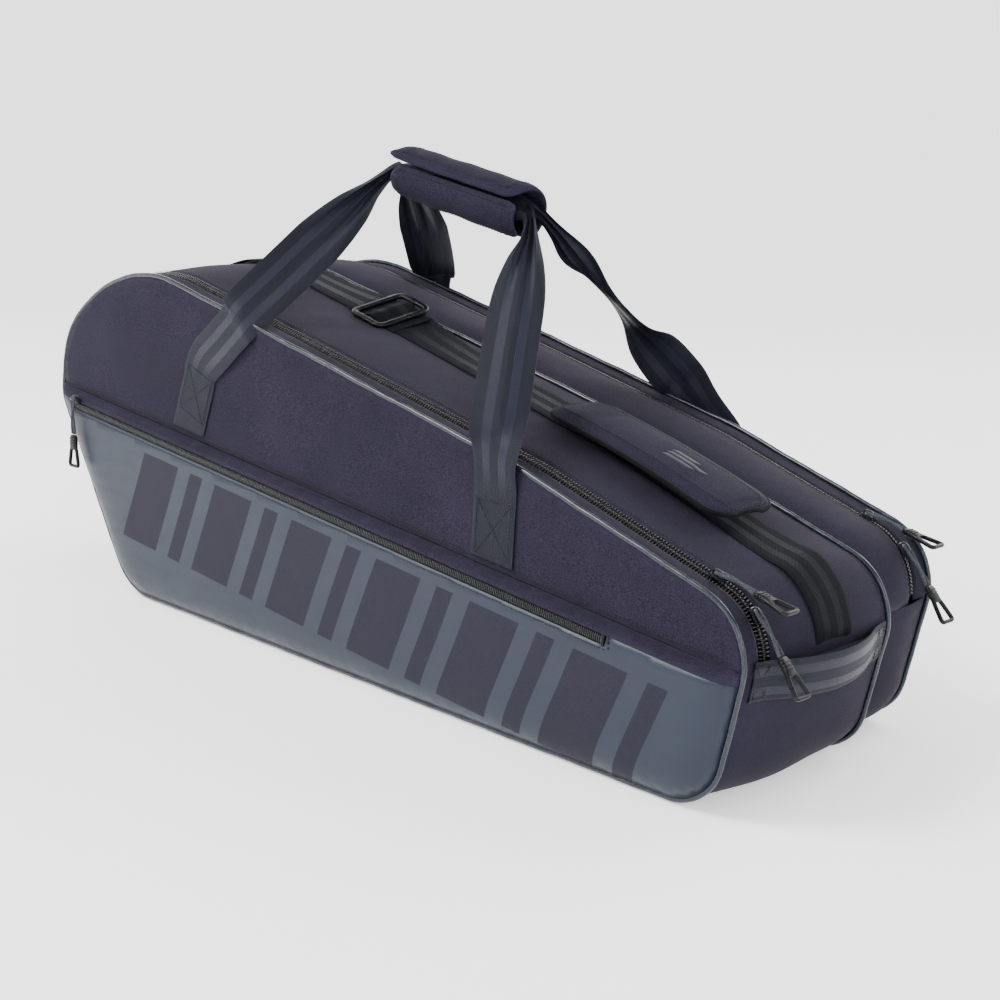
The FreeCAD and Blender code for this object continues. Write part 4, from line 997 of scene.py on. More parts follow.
def leg(outline, hand, foot, tilt, lean, top, knee, bends, stretch, loose, twist):
    """One leg from its patch to the wrap, as rows of place, direction across, curl and gather.
    hand is -1 for the left leg and 1 for the right one, along which the webbing runs back down."""
    rows, side = [], -hand
    tilt, lean = math.radians(tilt), math.radians(lean)

    def add(place, across, curl=0.0, gather=0.0):
        rows.append((*place, *across, curl, gather))

    for part in PATCH_ROWS:
        x = foot[0] - PATCH_LONG * part * math.sin(tilt)
        z = foot[2] - PATCH_LONG * part * math.cos(tilt)
        add((x, surface_y(outline, x, z) + 1.0, z), side * lean_way(tilt))
    x, _, z = foot
    add((x, surface_y(outline, x, z) + 1.1, z), side * lean_way((tilt + lean) / 2))
    rise = top - z
    for part, y in bends:
        add((x + math.tan(lean) * rise * part, y, z + rise * part), side * lean_way(lean))
    knee = np.array((x + math.tan(lean) * rise, knee[0], top + knee[1]))
    end = GRIP + hand * GRIP_WAY * GRIP_HALF
    end[1] = 6.0
    way = unit(end - knee)
    hinge = unit(np.cross((math.sin(lean), 0.0, math.cos(lean)), way))
    hinge *= side * np.sign(hinge @ lean_way(lean))
    add(knee, unit(hinge + side * lean_way(lean)), 0.1)
    edge_on = unit(TWIST_WAY - way * (TWIST_WAY @ way))
    edge_on *= np.sign(edge_on @ hinge)
    for part, curl, gather in stretch:
        spot = knee + (end - knee) * part + np.array((0, loose, -loose)) * math.sin(math.pi * part)
        turned = hinge + twist * (edge_on * 3.4 - hinge) * math.exp(-((part - 0.55) / 0.2) ** 2)
        add(spot, unit(turned), curl, gather)
    across = unit(hinge - GRIP_WAY * (hinge @ GRIP_WAY))
    add(end - hand * GRIP_WAY * 5.0, unit(hinge + across), 1.4, 0.88)
    return rows, across


# how far up a leg, how much the webbing is curled there, and how much it is gathered
LEFT_STRETCH = ((0.25, 0.2, 0.0), (0.5, 0.3, 0.0), (0.72, 0.6, 0.3), (0.88, 0.9, 0.8))
RIGHT_STRETCH = ((0.12, 0.2, 0.0), (0.26, 0.25, 0.0), (0.4, 0.3, 0.0), (0.54, 0.4, 0.0), (0.67, 0.5, 0.1),
                 (0.8, 0.7, 0.4), (0.92, 0.9, 0.85))


def handle(side, sign, outline, lean_left, top_left, lean_right, top_right, loose, twist=0.0):
    """One loop of webbing: up from a patch, over the piping, through the wrap and down to the other
    patch.  A leg leans by so many degrees up to its top, where it bends towards the wrap."""
    rows, across_left = leg(outline, -1, FOOT_LEFT, FOOT_TILT, lean_left, top_left, (128.0, 2.0),
                            ((0.4, 127.84), (0.78, 128.068)), LEFT_STRETCH, loose, 0.0)
    back, across_right = leg(outline, 1, FOOT_RIGHT, 0.0, lean_right, top_right, (126.8, 1.0),
                             ((0.6, 128.0),), RIGHT_STRETCH, loose, twist)
    # inside the wrap the webbing is rolled to a tube
    down = -GRIP_UP
    for along, across in ((-TUBE_HALF, unit(across_left + 0.5 * down)), (0.0, unit(down + (0, 0.15, 0))),
                          (TUBE_HALF, unit(across_right + 0.5 * down))):
        spot = GRIP + GRIP_WAY * along
        rows.append((spot[0], 3.6, spot[2], *across, 3.9, 0.0))
    path = smooth_path(np.array(rows + back[::-1]), 3.2)
    centres, across, gather = path[:, :3].copy(), path[:, 3:6].copy(), np.clip(path[:, 7], 0, 1)
    centres[:, 1] *= sign
    across[:, 1] *= sign
    if sign > 0:
        across = -across
    points, faces, uv = ribbon(centres, across, curl=path[:, 6], gather=gather)
    # both ends are caught in the seam at the fold
    points[:, 2] = np.maximum(points[:, 2], fold_z(points[:, 0]) + WEBBING_CLEAR)
    piece = add_piece(side + "_handle_webbing", points, faces, handle_webbing, uv=uv, narrow=False, sharp=70)
    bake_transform(piece)
    nodes = ("_patch_left", "_patch_right", "_leg_left", "_leg_right", "_grip")
    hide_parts(*[side + node for node in nodes])
    # box of stitches with a cross on each patch
    rows = []
    for foot, lean in ((FOOT_LEFT, math.radians(FOOT_TILT)), (FOOT_RIGHT, 0.0)):
        along = np.array((math.sin(lean), 0.0, math.cos(lean)))
        wide = lean_way(lean)
        corners = [foot + wide * a - along * b for a, b in ((-16, 8), (16, 8), (16, 46), (-16, 46))]
        for line in crossed_box(corners):
            line[:, 1] = [sign * (surface_y(outline, x, z) + 1.85) for x, _, z in line]
            rows.append(stitch_line(line, (0, sign, 0), spacing=2.6, length=2.1, radius=0.36))
    settle(joined_piece(side + "_patch_stitches", rows, thread_material, narrow=False), side + "_lid",
           "webbing")


handle("front", -1.0, front_outline, 50.0, 255.0, 0.0, 206.0, 1.5)
handle("rear", 1.0, rear_outline, -9.0, 268.0, -48.0, 210.0, 5.0, twist=1.0)


# ---------------------------------------------------------------- padded pieces
def rim_places(rows, columns):
    """Row and column of each point round the rim of a grid."""
    rim = [(r, 0) for r in range(rows)] + [(rows - 1, c) for c in range(1, columns)]
    rim += [(r, columns - 1) for r in range(rows - 2, -1, -1)]
    return rim + [(0, c) for c in range(columns - 2, 0, -1)]


def corner_inset(room, corner):
    """How far a side stands in, so near an end that its corner is round."""
    return np.where(room < corner, corner - np.sqrt(np.clip(corner ** 2 - (corner - room) ** 2, 0, None)), 0)


def pillow(name, centre, normal, half, material):
    """A closed padded sheet: a grid of points with a normal and a half thickness at each."""
    rows, columns = half.shape
    top = (centre + normal * half[..., None]).reshape(-1, 3)
    low = (centre - normal * half[..., None]).reshape(-1, 3)
    faces = grid_faces(rows, columns)
    under = [face[::-1] for face in grid_faces(rows, columns, start=rows * columns)]
    rim = [r * columns + c for r, c in rim_places(rows, columns)]
    sides = [[a, b, b + rows * columns, a + rows * columns] for a, b in zip(rim, rim[1:] + rim[:1])]
    piece = add_piece(name, np.vstack((top, low)), faces + under + sides, material, narrow=False, sharp=75)
    mesh = piece.data
    work = bmesh.new()
    work.from_mesh(mesh)
    bmesh.ops.recalc_face_normals(work, faces=work.faces)
    work.to_mesh(mesh)
    work.free()
    mesh.set_sharp_from_angle(angle=math.radians(75))
    return piece


def wrap_sheet(name, from_angle, to_angle, low_end, high_end, seed, tip):
    """Part of the padded tube round the handles.  Angles go from straight up towards the front."""
    rows, columns, radius = 56, 40, 17.4
    t_grid, v_grid = np.meshgrid(np.linspace(0, 1, rows), np.linspace(-1, 1, columns), indexing="ij")
    angle = np.radians(from_angle + (to_angle - from_angle) * t_grid)
    sweep = abs(math.radians(to_angle - from_angle)) * radius
    middle, half_long = (low_end + high_end) / 2, (high_end - low_end) / 2
    # rounded corners at both ends of the sweep
    room = np.minimum(t_grid, 1 - t_grid) * sweep
    along = middle + v_grid * (half_long - corner_inset(room, 14.0))
    # one corner of the free edge is pulled out into a tip
    pulled = np.exp(-(t_grid * sweep / 6.0) ** 2) * np.clip(np.sign(tip) * v_grid, 0, 1) ** 5
    along = along + tip * pulled
    # thin at its border, with a seam a little inside it
    border = np.minimum(room, (1 - np.abs(v_grid)) * half_long)
    thick = 0.9 + 1.75 * (1 - np.exp(-border / 4.0)) - 0.8 * np.exp(-((border - 5.0) / 1.0) ** 2)
    flat = np.stack((along, angle * 20, 0 * along), -1).reshape(-1, 3)
    soft = ripple(flat, 34, seed).reshape(along.shape) * 0.45
    # the rear sheet's lip stands over the flap's upper edge
    lip = (2.6 if to_angle < 0 else -1.3) * np.exp(-(t_grid * sweep / 9.0) ** 2)
    distance = radius + 0.9 * np.cos(2 * angle) + soft + lip + 2.6 * pulled
    out = (GRIP_UP[None, None] * np.cos(angle)[..., None]
           + np.array(FORWARD, float)[None, None] * np.sin(angle)[..., None])
    centre = GRIP + GRIP_WAY * along[..., None] + out * distance[..., None]
    piece = pillow(name, centre, out, thick, wrap_fabric)
    # stitched border
    raised = centre + out * (thick + 0.15)[..., None]
    lines = [(raised[4:rows - 5, c], out[4:rows - 5, c]) for c in (3, columns - 4)]
    lines += [(raised[r, 4:-4], out[r, 4:-4]) for r in (5, rows - 6)]
    rows_of_stitches = [stitch_line(line, ups, **FINE_STITCH) for line, ups in lines]
    stitches = joined_piece(name + "_stitches", rows_of_stitches, thread_material, narrow=False)
    return piece, stitches


for name, node, body, sheet, fill in (
        ("grip_wrap", "handle_wrap", "rear_handle", (58.0, -178.5, -70.0, 69.0, 5, -9.0), 0.7),
        ("grip_wrap_flap", "handle_wrap_flap", "wrap_flap", (64.0, 178.5, -69.0, 68.0, 8, 8.0), 0.6)):
    piece, stitches = wrap_sheet(name, *sheet)
    settle(piece, body, "panel_fabric", node)
    settle(stitches, body, "panel_fabric")


# ---------------------------------------------------------------- shoulder strap, its pad and buckle
STRAP_YAW = math.radians(-3.5)          # the strap crosses the top at a small angle
STRAP_REF = (335.0, -29.5)              # x and y of one point of its middle
STRAP_OFFSET = 2.0
STRAP_LEFT, STRAP_RIGHT = -300.0, 343.0
TOP_FALL, TOP_RUN = 97.5, 460.0         # slope of the bag's straight top
TOP_PITCH = math.degrees(math.atan(TOP_FALL / TOP_RUN))
BUCKLE_X, BUCKLE_ROLL, BUCKLE_LIFT = -82.0, 13.0, 13.2      # rolled, in degrees, towards the front
BUCKLE_LONG, BUCKLE_WIDE, BUCKLE_BAR = 42, 54, 5
PAD_X, PAD_LONG, PAD_WIDE, PAD_LIFT = 217.0, 176.0, 62.0, 6.5
PAD_PITCH, PAD_CORNER = 14.3, 19.0


def strap_y(x):
    return STRAP_REF[1] + (np.asarray(x, float) - STRAP_REF[0]) * math.tan(STRAP_YAW)


def strap_rows(s):
    """Middle of the strap and its direction across, at distances along the front outline."""
    place = front_outline.at(s)[0]
    # slack over the high end's shoulder, and raised where it comes over the low end's edge
    slack = 2.2 * np.exp(-((place[:, 0] + 250) / 36.0) ** 2)
    from_right = s - front_outline.fold_right
    from_left = front_outline.fold_left - s
    tuck = np.exp(-np.minimum(from_right, from_left) / 5.0) * 4.5
    ridge = 2.2 * np.exp(-((place[:, 0] - 347) / 14.0) ** 2)
    # it is slack and rolled towards the front under the buckle
    near_buckle = np.exp(-((place[:, 0] - BUCKLE_X) / 62.0) ** 2)
    offset = STRAP_OFFSET + slack + ridge - tuck + 4.2 * near_buckle + gusset_bulge(front_outline, s) - 1.0
    centre = front_outline.lift(s, strap_y(place[:, 0]), offset)
    across = np.stack((0 * s, np.ones(len(s)), 0 * s), -1)
    across[:, 2] += 0.10 * np.exp(-((place[:, 0] - 340) / 30.0) ** 2) + 0.22 * near_buckle
    return centre, across


def strap_piece(name, low, high):
    s = np.linspace(low, high, int((high - low) / 3.0) + 2)
    centre, across = strap_rows(s)
    points, faces, uv = ribbon(centre, across, thickness=1.5)
    # the weave runs on from one piece to the next
    uv[:, 1] += low
    return add_piece(name, points, faces, strap_webbing, uv=uv, sharp=70)


fine = front_outline.span(True, 0.5)
fine_x = front_outline.at(fine)[0][:, 0]
s_right, s_left = (fine[np.argmax(fine_x < x)] for x in (STRAP_RIGHT, STRAP_LEFT))
settle(strap_piece("strap_main", s_right, s_left), "strap", "webbing", "strap_webbing")
for name, sewn, free in (("right", front_outline.fold_right + 0.5, s_right),
                         ("left", front_outline.fold_left - 0.5, s_left)):
    piece = strap_piece("strap_end_%s_webbing" % name, min(sewn, free), max(sewn, free))
    start, end = narrowed(strap_rows(np.array((sewn, free)))[0])
    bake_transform(piece)
    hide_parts("strap_end_" + name)


def strap_frame(x, pitch):
    """Centre of the strap at x, and the directions along, across and up from it."""
    pitch, yaw = math.radians(pitch), STRAP_YAW
    z = CORNERS[2][1] + (CORNERS[2][0] - x) * TOP_FALL / TOP_RUN
    along = np.array((math.cos(yaw) * math.cos(pitch), math.sin(yaw) * math.cos(pitch), -math.sin(pitch)))
    wide = np.array((-math.sin(yaw), math.cos(yaw), 0.0))
    spot = narrowed([(x, float(strap_y(x)), z)])[0]
    return spot, along, wide, np.cross(along, wide)


def vertex_places(mesh):
    places = np.zeros(len(mesh.vertices) * 3)
    mesh.vertices.foreach_get("co", places)
    return places.reshape(-1, 3)


def swell_cloth(piece, held, cap, frames=20):
    """Swell a closed piece with a short cloth simulation.  The held points stay, and no other moves
    more than cap."""
    scene = bpy.context.scene
    start = vertex_places(piece.data)
    cloth = piece.modifiers.new("cloth", "CLOTH")
    cloth.settings.use_pressure = True
    cloth.settings.uniform_pressure_force = 4.0
    cloth.settings.effector_weights.gravity = 0.0
    cloth.settings.quality = 5
    cloth.settings.tension_stiffness = cloth.settings.compression_stiffness = 18.0
    cloth.settings.bending_stiffness = 0.8
    cloth.collision_settings.use_self_collision = False
    group = piece.vertex_groups.new(name="held")
    for index in np.nonzero(held)[0]:
        group.add([int(index)], 1.0, "REPLACE")
    cloth.settings.vertex_group_mass = "held"
    cloth.point_cache.frame_start, cloth.point_cache.frame_end = 1, frames
    for number in range(1, frames + 1):
        scene.frame_set(number)
    end = vertex_places(piece.evaluated_get(bpy.context.evaluated_depsgraph_get()).data)
    scene.frame_set(1)
    piece.modifiers.remove(cloth)
    move = np.nan_to_num(end - start)
    far = np.linalg.norm(move, axis=1, keepdims=True)
    move = move * np.minimum(1.0, cap / 1000.0 / np.maximum(far, 1e-9))
    piece.data.vertices.foreach_set("co", (start + move).ravel())
    piece.data.update()


def pad_mark(local, tops, spot, along, wide, rise):
    """A plain mark of three slanted bars, printed on the pad's cloth."""
    parts = []
    for length, shift in ((26, 0), (34, 5.25), (22, 10.5)):
        corners = [np.array((10 + a, -9 + shift + b))
                   for a, b in ((0, 0), (length, 0), (length + 3, 3.4), (3, 3.4))]
        lifted = []
        for tv in np.linspace(0, 1, 4):
            for tu in np.linspace(0, 1, 12):
                low = corners[0] * (1 - tu) + corners[1] * tu
                high = corners[3] * (1 - tu) + corners[2] * tu
                a, b = low * (1 - tv) + high * tv
                gap = (local[:, 0] - a) ** 2 + (local[:, 1] - b) ** 2
                near = np.argsort(gap)[:5]
                share = 1 / (gap[near] + 0.05)
                height = ((tops[near] - spot) @ rise) @ share / share.sum()
                lifted.append(spot + along * a + wide * b + rise * (height + 0.22))
        parts.append((np.array(lifted), grid_faces(4, 12)))
    return thicken(joined_piece("shoulder_cushion_mark", parts, print_material, narrow=False), 0.3)


def shoulder_pad():
    spot, along, wide, rise = strap_frame(PAD_X, PAD_PITCH)
    spot = spot + rise * PAD_LIFT
    rows, columns = 60, 24
    u_grid, v_grid = np.meshgrid(np.sin(np.linspace(-math.pi / 2, math.pi / 2, rows)),
                                 np.linspace(-1, 1, columns), indexing="ij")
    room = (1 - np.abs(u_grid)) * PAD_LONG / 2
    x = u_grid * PAD_LONG / 2
    waist = 1.2 * np.cos(u_grid * math.pi / 2)
    y = v_grid * (PAD_WIDE / 2 - corner_inset(room, PAD_CORNER) - waist)
    border = np.minimum(room, (1 - np.abs(v_grid)) * PAD_WIDE / 2)
    half = 0.9 + 4.1 * (1 - np.exp(-border / 7.0))
    flat = np.stack((x, y, 0 * x), -1).reshape(-1, 3)
    sag = 2.0 - 3.2 * (x / (PAD_LONG / 2)) ** 2 - 1.5 * np.abs(v_grid) ** 3
    centre = (spot + along * x[..., None] + wide * y[..., None] + rise * (6.3 + sag)[..., None])
    piece = pillow("shoulder_cushion", centre, np.broadcast_to(rise, centre.shape), half, wrap_fabric)
    swell_cloth(piece, np.tile((border < 3.5).ravel(), 2), 3.0)
    mesh = piece.data
    place = vertex_places(mesh)
    count = len(place)
    local = np.tile(flat, (2, 1))
    side_sign = np.repeat((1.0, -1.0), count // 2)[:, None]
    borders = np.tile(border.ravel(), 2)
    # seam round the edge, soft creases across, and slight unevenness
    seam = -0.9 * np.exp(-((borders - 6.0) / 1.3) ** 2)
    crease = -0.7 * np.exp(-((local[:, 0] - 42 + 0.25 * local[:, 1]) / 5.0) ** 2) * ease(borders, 4, 14)
    crease -= 0.55 * np.exp(-((local[:, 0] + 51 - 0.15 * local[:, 1]) / 6.0) ** 2) * ease(borders, 4, 14)
    lumps = ripple(local, 42, 17) * 0.45 * ease(borders, 4, 16)
    top_only = np.repeat((1.0, 0.3), count // 2)
    place += (seam + crease + lumps)[:, None] * top_only[:, None] * side_sign * rise / 1000.0
    mesh.vertices.foreach_set("co", place.ravel())
    mesh.update()
    # binding sewn round the edge
    path = np.array([centre[r, c] for r, c in rim_places(rows, columns)])
    outward = np.cross(loop_ways(path), rise)
    outward *= np.sign(np.sum(outward * (path - spot), axis=1, keepdims=True))
    angles = np.linspace(0, 2 * math.pi, 10, endpoint=False)
    section = np.stack((1.9 * np.cos(angles) - 0.4, 1.7 * np.sin(angles)), -1)
    points, faces = section_sweep(path, outward, each(rise, path), section, closed=True)
    binding = add_piece("shoulder_cushion_binding", points, faces, binding_material, narrow=False, sharp=80)
    # stitches inside the binding
    tops = place[:count // 2] * 1000.0 + ORIGIN
    grid = tops.reshape(rows, columns, 3)
    lines = [grid[4:-4, c] for c in (4, columns - 5)] + [grid[r, 4:-4] for r in (4, rows - 5)]
    lines = [stitch_line(line + rise * 0.15, rise, spacing=3.0, length=2.3, radius=0.36) for line in lines]
    stitches = joined_piece("shoulder_cushion_stitches", lines, thread_material, narrow=False)
    mark = pad_mark(flat, tops, spot, along, wide, rise)
    for item in (piece, binding, stitches, mark):
        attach(item, "pad")
    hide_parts("shoulder_pad")


shoulder_pad()


def rounded_rectangle(long, wide, radius, step=3):
    points = []
    for cx, cy, start in ((1, 1, 0), (-1, 1, 90), (-1, -1, 180), (1, -1, 270)):
        for angle in np.radians(np.linspace(start, start + 90, step + 1)):
            points.append((cx * (long / 2 - radius) + radius * math.cos(angle),
                           cy * (wide / 2 - radius) + radius * math.sin(angle)))
    return np.array(points)


def bar(path, across, up, wide, high, closed=True, power=3.0):
    """A moulded bar of rounded section along a path."""
    return section_sweep(path, across, up, oval(wide, high, 2 / power, 16), closed=closed)


def resampled(loop, step, closed=True):
    loop = np.asarray(loop, float)
    line = np.vstack((loop, loop[:1])) if closed else loop
    along = distances(line)
    count = max(8, int(along[-1] / step))
    return sampled(line, along, np.linspace(0, along[-1], count, endpoint=not closed))


def flat_loop(loop, centre, first, second):
    """Points in space of a loop drawn in two directions, and its outward directions."""
    ways = loop_ways(loop)
    sides = np.stack((ways[:, 1], -ways[:, 0]), -1)
    return (centre + first * loop[:, :1] + second * loop[:, 1:],
            first * sides[:, :1] + second * sides[:, 1:])


def buckle():
    spot, along, wide, rise = strap_frame(BUCKLE_X, TOP_PITCH)
    roll = math.radians(BUCKLE_ROLL)
    wide, rise = (wide * math.cos(roll) + rise * math.sin(roll),
                  rise * math.cos(roll) - wide * math.sin(roll))
    spot = spot + rise * BUCKLE_LIFT
    loop = resampled(rounded_rectangle(BUCKLE_LONG - BUCKLE_BAR, BUCKLE_WIDE - BUCKLE_BAR, 6, 6), 1.5)
    path, across = flat_loop(loop, spot, along, wide)
    path = path - rise * (0.5 * (loop[:, :1] / 18.0) ** 2)
    parts = [bar(path, across, each(rise, path), 5.2, 3.8)]
    path = spot + wide * np.linspace(-23.5, 23.5, 30)[:, None] - rise * 1.5
    parts.append(bar(path, each(along, path), each(rise, path), 6.0, 3.0, closed=False))
    for k in np.linspace(-20, 20, 15):
        parts.append(beads([spot + wide * k + along * 1.0], [along], [rise], 4.2, 0.55))
    piece = joined_piece("adjuster_buckle", parts, buckle_material, narrow=False, sharp=60)
    settle(piece, "buckle", "buckle", "strap_buckle")
    # the strap's own loop over the buckle's bar
    run = np.linspace(-30, 30, 41)
    lift = -3.2 + 4.6 * np.exp(-(run / 9.0) ** 2)
    centre = spot + along * run[:, None] + rise * lift[:, None]
    points, faces, uv = ribbon(centre, each(wide, centre), width=39.0, thickness=1.5)
    piece = add_piece("buckle_webbing", points, faces, strap_webbing, uv=uv, narrow=False, sharp=70)
    settle(piece, "buckle", "webbing")


buckle()


# ---------------------------------------------------------------- grab handle on the narrow end
def end_face_x(z):
    """X of the bag's low end at one height."""
    s = np.linspace(0, front_outline.fold_right, 400)
    place, _ = front_outline.at(s)
    order = np.argsort(place[:, 1])
    return float(np.interp(z, place[order, 1], place[order, 0]))


GRAB_Z, GRAB_WIDE, GRAB_LEAN = 88.0, 27.0, 0.14
# depth along the handle and how far it stands off the end there
GRAB_Y = (-113.5, -108, -101, -94, -80, -62, -40, -18, 0, 12, 20, 27, 33.5)
GRAB_OUT = (-0.4, 0.4, 1.6, 4.0, 9.5, 14.2, 16.6, 14.6, 10.0, 5.2, 2.4, 0.8, -0.4)


def grab_handle():
    base = end_face_x(GRAB_Z)
    path = smooth_path([(base + 1.2 + o, y, GRAB_Z - 1.6 * o / 17) for y, o in zip(GRAB_Y, GRAB_OUT)], 2.5)
    bow = np.clip((path[:, 0] - base) / 17.0, 0, 1)
    points, faces, uv = ribbon(path, each((GRAB_LEAN, 0.0, 1.0), path), width=GRAB_WIDE, thickness=1.8,
                               curl=0.15 + 0.35 * bow)
    # its stripes lie as far from its edges as on the wider webbing
    uv[:, 0] *= 1.15
    settle(add_piece("grab_webbing", points, faces, grab_webbing, uv=uv, sharp=70), "bag", "webbing",
           "grab_handle")
    rows = []
    for low, high in ((-112, -101), (22, 32)):
        for line in crossed_box([(low, -11), (high, -11), (high, 11), (low, 11)]):
            y, h = line[:, 0], line[:, 1]
            x = np.interp(y, GRAB_Y, [base + 1.2 + o for o in GRAB_OUT])
            line = np.column_stack((x + 1.0 + GRAB_LEAN * h, y, GRAB_Z + h))
            rows.append(stitch_line(line, (1, 0, -GRAB_LEAN), spacing=2.4, length=1.9, radius=0.34))
    settle(joined_piece("grab_stitches", rows, thread_material), "bag", "webbing")


grab_handle()


# ---------------------------------------------------------------- zip sliders and pullers
SLIDER_HALF = ((-5.4, 1.5), (-4.6, 2.5), (-2.5, 3.0), (0.5, 3.5), (3.2, 3.75), (4.8, 3.2), (5.4, 2.2),
               (4.3, 1.0), (4.0, 0.0))
SLIDER_ARCH = ((-4.2, 1.2), (-4.1, 3.2), (-3.2, 4.5), (-1.4, 5.0), (1.4, 5.0), (3.2, 4.5), (4.0, 3.2),
               (4.1, 1.2))


def slider(name, body, node, spot, way, out):
    """Slider: a plate that narrows where the halves join, and a bridge for the cord.  Gives the
    place where the cord starts."""
    way, out = unit(way), unit(out)
    side = np.cross(out, way)
    shape = list(SLIDER_HALF) + [(a, -b) for a, b in SLIDER_HALF[-2::-1]]
    rings, count = [], len(shape)
    for grow, height in ((0.88, 0.0), (1.0, 0.35), (1.0, 1.15), (0.86, 1.5)):
        rings.append([spot + way * a * grow + side * b * grow + out * height for a, b in shape])
    faces = grid_faces(4, count, closed_columns=True)
    faces += [list(range(count))[::-1], [3 * count + k for k in range(count)]]
    arch = resampled(SLIDER_ARCH, 0.9, closed=False)
    path = np.array([spot + way * a + out * b for a, b in arch])
    tangent = unit(np.gradient(path, axis=0))
    bridge = bar(path, each(side, path), np.cross(tangent, side), 1.9, 1.1, closed=False)
    plate = (np.array(rings).reshape(-1, 3), faces)
    piece = joined_piece(name, [plate, bridge], metal_material, narrow=False, sharp=40)
    settle(piece, body, "slider_metal", node)
    return spot + out * 3.6


CORD_R, YARN_R = 1.05, 0.33
CORD_APART = 1.75       # half the distance between the two strands where they start
TAB_LONG = 27.0
# the sleeve's sections: place along it, width and thickness
SLEEVE = ((-1.5, 6.2, 3.2), (0.0, 8.0, 4.0), (4.5, 8.6, 4.2), (8.5, 9.4, 3.8), (11.0, 10.6, 3.2))


def puller(name, body, start, way, out, nodes, cord=32.0):
    """Two strands of cord that cross, a moulded sleeve, and a tapering finger loop."""
    way, out = unit(way), unit(out)
    side = np.cross(out, way)
    strands = []

    def strand(path, across, radius, count):
        sideways, normal = path_frame(path, each(across, path))
        strands.append(section_sweep(path, sideways, normal, circle(radius, count)))

    t = np.linspace(0, 1, 22)
    for hand in (-1.0, 1.0):
        spread = hand * (CORD_APART * np.cos(t * math.pi))
        lift = 0.35 * hand * np.sin(t * math.pi) + 0.8 * np.sin(t * math.pi)
        path = start + way * (t * (cord - 2) - 0.5)[:, None] + side * spread[:, None] + out * lift[:, None]
        strand(path, side, CORD_R, 10)
        # the lay of the cord's yarns
        turn = np.linspace(0, 1, 90)
        even = sampled(path, t, turn)
        for phase in range(3):
            angle = turn * 2 * math.pi * 6 + phase * 2.1
            helix = even + side * (0.95 * np.cos(angle))[:, None] + out * (0.95 * np.sin(angle))[:, None]
            strand(helix, side, YARN_R, 6)
    # round the bridge
    bend = np.linspace(-math.pi / 2, math.pi / 2, 11)
    path = start + side * (CORD_APART * np.sin(bend))[:, None] - way * (1.4 * np.cos(bend) + 0.4)[:, None]
    strand(path, out, CORD_R, 10)
    line = joined_piece(name + "_strands", strands, cord_material, narrow=False, sharp=80)
    settle(line, body, "puller_cord", nodes[0])
    base = start + way * cord
    # sleeve, with three ridges round it
    section = np.stack([oval(wide, high, 0.62, 20) for _, wide, high in SLEEVE])
    path = base + way * np.array([along for along, _, _ in SLEEVE])[:, None]
    parts = [section_sweep(path, each(side, path), each(out, path), section)]
    for along in (1.6, 3.8, 6.0):
        ring = rounded_rectangle(8.7, 4.3, 1.9, 5)
        loop = base + way * along + side * ring[:, :1] + out * ring[:, 1:]
        outward = unit(side * ring[:, :1] + out * ring[:, 1:] * 1.6)
        parts.append(section_sweep(loop, outward, each(way, loop), circle(0.42, 6), closed=True))
    # finger loop
    outline = [(9.5, 3.4), (14.0, 4.6), (TAB_LONG - 3.4, 6.4), (TAB_LONG - 1.7, 5.8), (TAB_LONG - 1.4, 4.4)]
    outline = outline + [(a, -b) for a, b in outline[::-1]]
    path, outward = flat_loop(resampled(outline, 0.9), base, way, side)
    parts.append(bar(path, outward, each(out, path), 2.7, 3.0, power=2.6))
    piece = joined_piece(name + "_loop", parts, tab_material, narrow=False, sharp=50)
    settle(piece, body, "puller_tab", nodes[1])


def shell_spot(outline, s, y, offset):
    spot = narrowed(outline.lift(np.array([s]), np.array([y]), np.array([offset])))[0]
    normal = outline.at(np.array([s]))[1][0]
    return spot, np.array((normal[0], 0.0, normal[1]))


def box_middle(node):
    low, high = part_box(node)
    return (np.array(low) + np.array(high)) / 2 * 1000.0 + ORIGIN


SLIDER_OFFSET = 1.0     # of a main zip's slider from the outline
for side, outline in (("front", front_outline), ("rear", rear_outline)):
    for place_name in ("top", "end"):
        node = "%s_slider_%s" % (side, place_name)
        middle = box_middle(node)
        fine = outline.span(True, 0.5)
        near = outline.at(fine)[0]
        s = fine[np.argmin(np.hypot(near[:, 0] - middle[0], near[:, 1] - middle[2]))]
        spot, out = shell_spot(outline, s, middle[1], SLIDER_OFFSET)
        way = np.array((out[2], 0.0, -out[0]))
        start = slider(node + "_body", node, node, spot, way, out)
        if place_name == "top":
            way = way + out * 0.07
        puller(node + "_pull", node + "_puller", start, way, out, (node + "_cord", node + "_tab"))

middle = box_middle("pocket_slider")
spot = np.array((middle[0], -134.6, middle[2]))
way = unit((1.0, 0.0, -FOLD_SLOPE))
start = slider("pocket_slider_body", "pocket_slider", "pocket_slider", spot, way, FORWARD)
puller("pocket_slider_pull", "pocket_puller", start + (0, -0.4, 0), (0, 0, -1), FORWARD,
       ("pocket_slider_cord", "pocket_slider_tab"), cord=33.0)


# ---------------------------------------------------------------- studio
FLOOR_R, CURVE_R = 2.6, 1.4     # metres: where the floor begins to turn up, and how gently


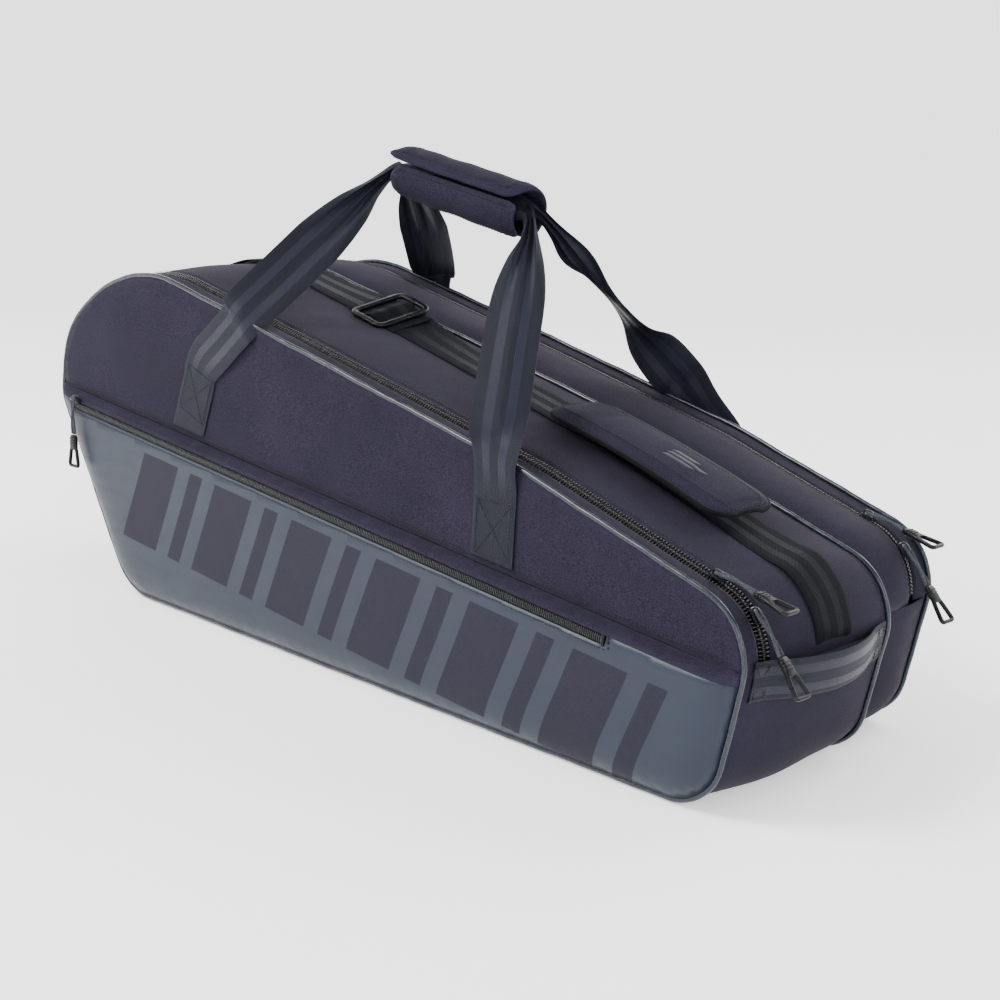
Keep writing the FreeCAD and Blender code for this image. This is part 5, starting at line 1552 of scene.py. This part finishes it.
def studio():
    """A round pale floor that turns up into a wall."""
    around = 96
    profile = [(0.0, 0.0)] + [(r, 0.0) for r in np.linspace(0.3, FLOOR_R, 8)]
    profile += [(FLOOR_R + CURVE_R * math.sin(a), CURVE_R * (1 - math.cos(a)))
                for a in np.linspace(0.1, math.pi / 2, 14)]
    profile += [(4.0, z) for z in np.linspace(1.7, 3.2, 5)]
    angles = np.arange(around) * 2 * math.pi / around
    points = [(r * math.cos(a), r * math.sin(a), z) for r, z in profile for a in angles]
    mesh = bpy.data.meshes.new("floor")
    mesh.from_pydata(points, [], grid_faces(len(profile), around, closed_columns=True))
    mesh.polygons.foreach_set("use_smooth", np.ones(len(mesh.polygons), bool))
    floor = bpy.data.objects.new("floor", mesh)
    shade = Shade("studio_floor", Specular_IOR_Level=0.2)
    tone = shade.noise(3.0, 2.0)
    shade.set("Base Color", shade.blend(shade.spread(tone, 0.3, 0.7), (0.93, 0.93, 0.935),
                                        (0.95, 0.95, 0.95)))
    shade.set("Roughness", shade.spread(tone, 0.3, 0.7, 0.8, 0.9))
    shade.set("Emission Color", shade.blend(tone, (1.0, 1.0, 1.0), (0.98, 0.98, 1.0)))
    shade.shader.inputs["Emission Strength"].default_value = 0.62
    mesh.materials.append(shade.material)
    bpy.context.scene.collection.objects.link(floor)


def area_light(name, place, size, power):
    """A round light aimed at the bag."""
    light = bpy.data.lights.new(name, "AREA")
    light.shape, light.size, light.energy = "DISK", size, power
    lamp = bpy.data.objects.new(name, light)
    lamp.location = place
    lamp.rotation_euler = (Vector(AIM) - Vector(place)).to_track_quat("-Z", "Y").to_euler()
    bpy.context.scene.collection.objects.link(lamp)


studio()
AIM = (0.0, 0.0, 0.12)
area_light("key", (-1.1, -1.5, 2.3), 1.3, 112)
area_light("fill", (2.0, -1.4, 1.2), 1.6, 22)
area_light("rim", (0.6, 1.9, 1.9), 1.4, 45)
area_light("top", (0.0, 0.0, 2.9), 2.2, 18)
world = bpy.data.worlds.new("studio")
world.use_nodes = True
world.node_tree.nodes["Background"].inputs["Color"].default_value = (1, 1, 1, 1)
world.node_tree.nodes["Background"].inputs["Strength"].default_value = 0.3
bpy.context.scene.world = world


# the camera: its angles round the bag, and its distance from the point that it looks at
AZIMUTH, ELEVATION, ROLL = math.radians(44.48), math.radians(13.21), math.radians(2.09)
DISTANCE = 1390.0
TARGET = np.array((44.0, 0.0, 123.0))
away = np.array((math.sin(AZIMUTH) * math.cos(ELEVATION),
                 -math.cos(AZIMUTH) * math.cos(ELEVATION), math.sin(ELEVATION)))
right = np.array((math.cos(AZIMUTH), math.sin(AZIMUTH), 0.0))
up = np.cross(away, right)
across = right * math.cos(ROLL) + up * math.sin(ROLL)
upward = up * math.cos(ROLL) - right * math.sin(ROLL)
place = metres(TARGET + away * DISTANCE)
lens = bpy.data.cameras.new("camera")
lens.lens, lens.sensor_width = 64.8, 36.0
camera = bpy.data.objects.new("camera", lens)
rows = [(across[k], upward[k], away[k], place[k]) for k in range(3)]
camera.matrix_world = Matrix(rows + [(0, 0, 0, 1)])
bpy.context.scene.collection.objects.link(camera)
bpy.context.scene.camera = camera
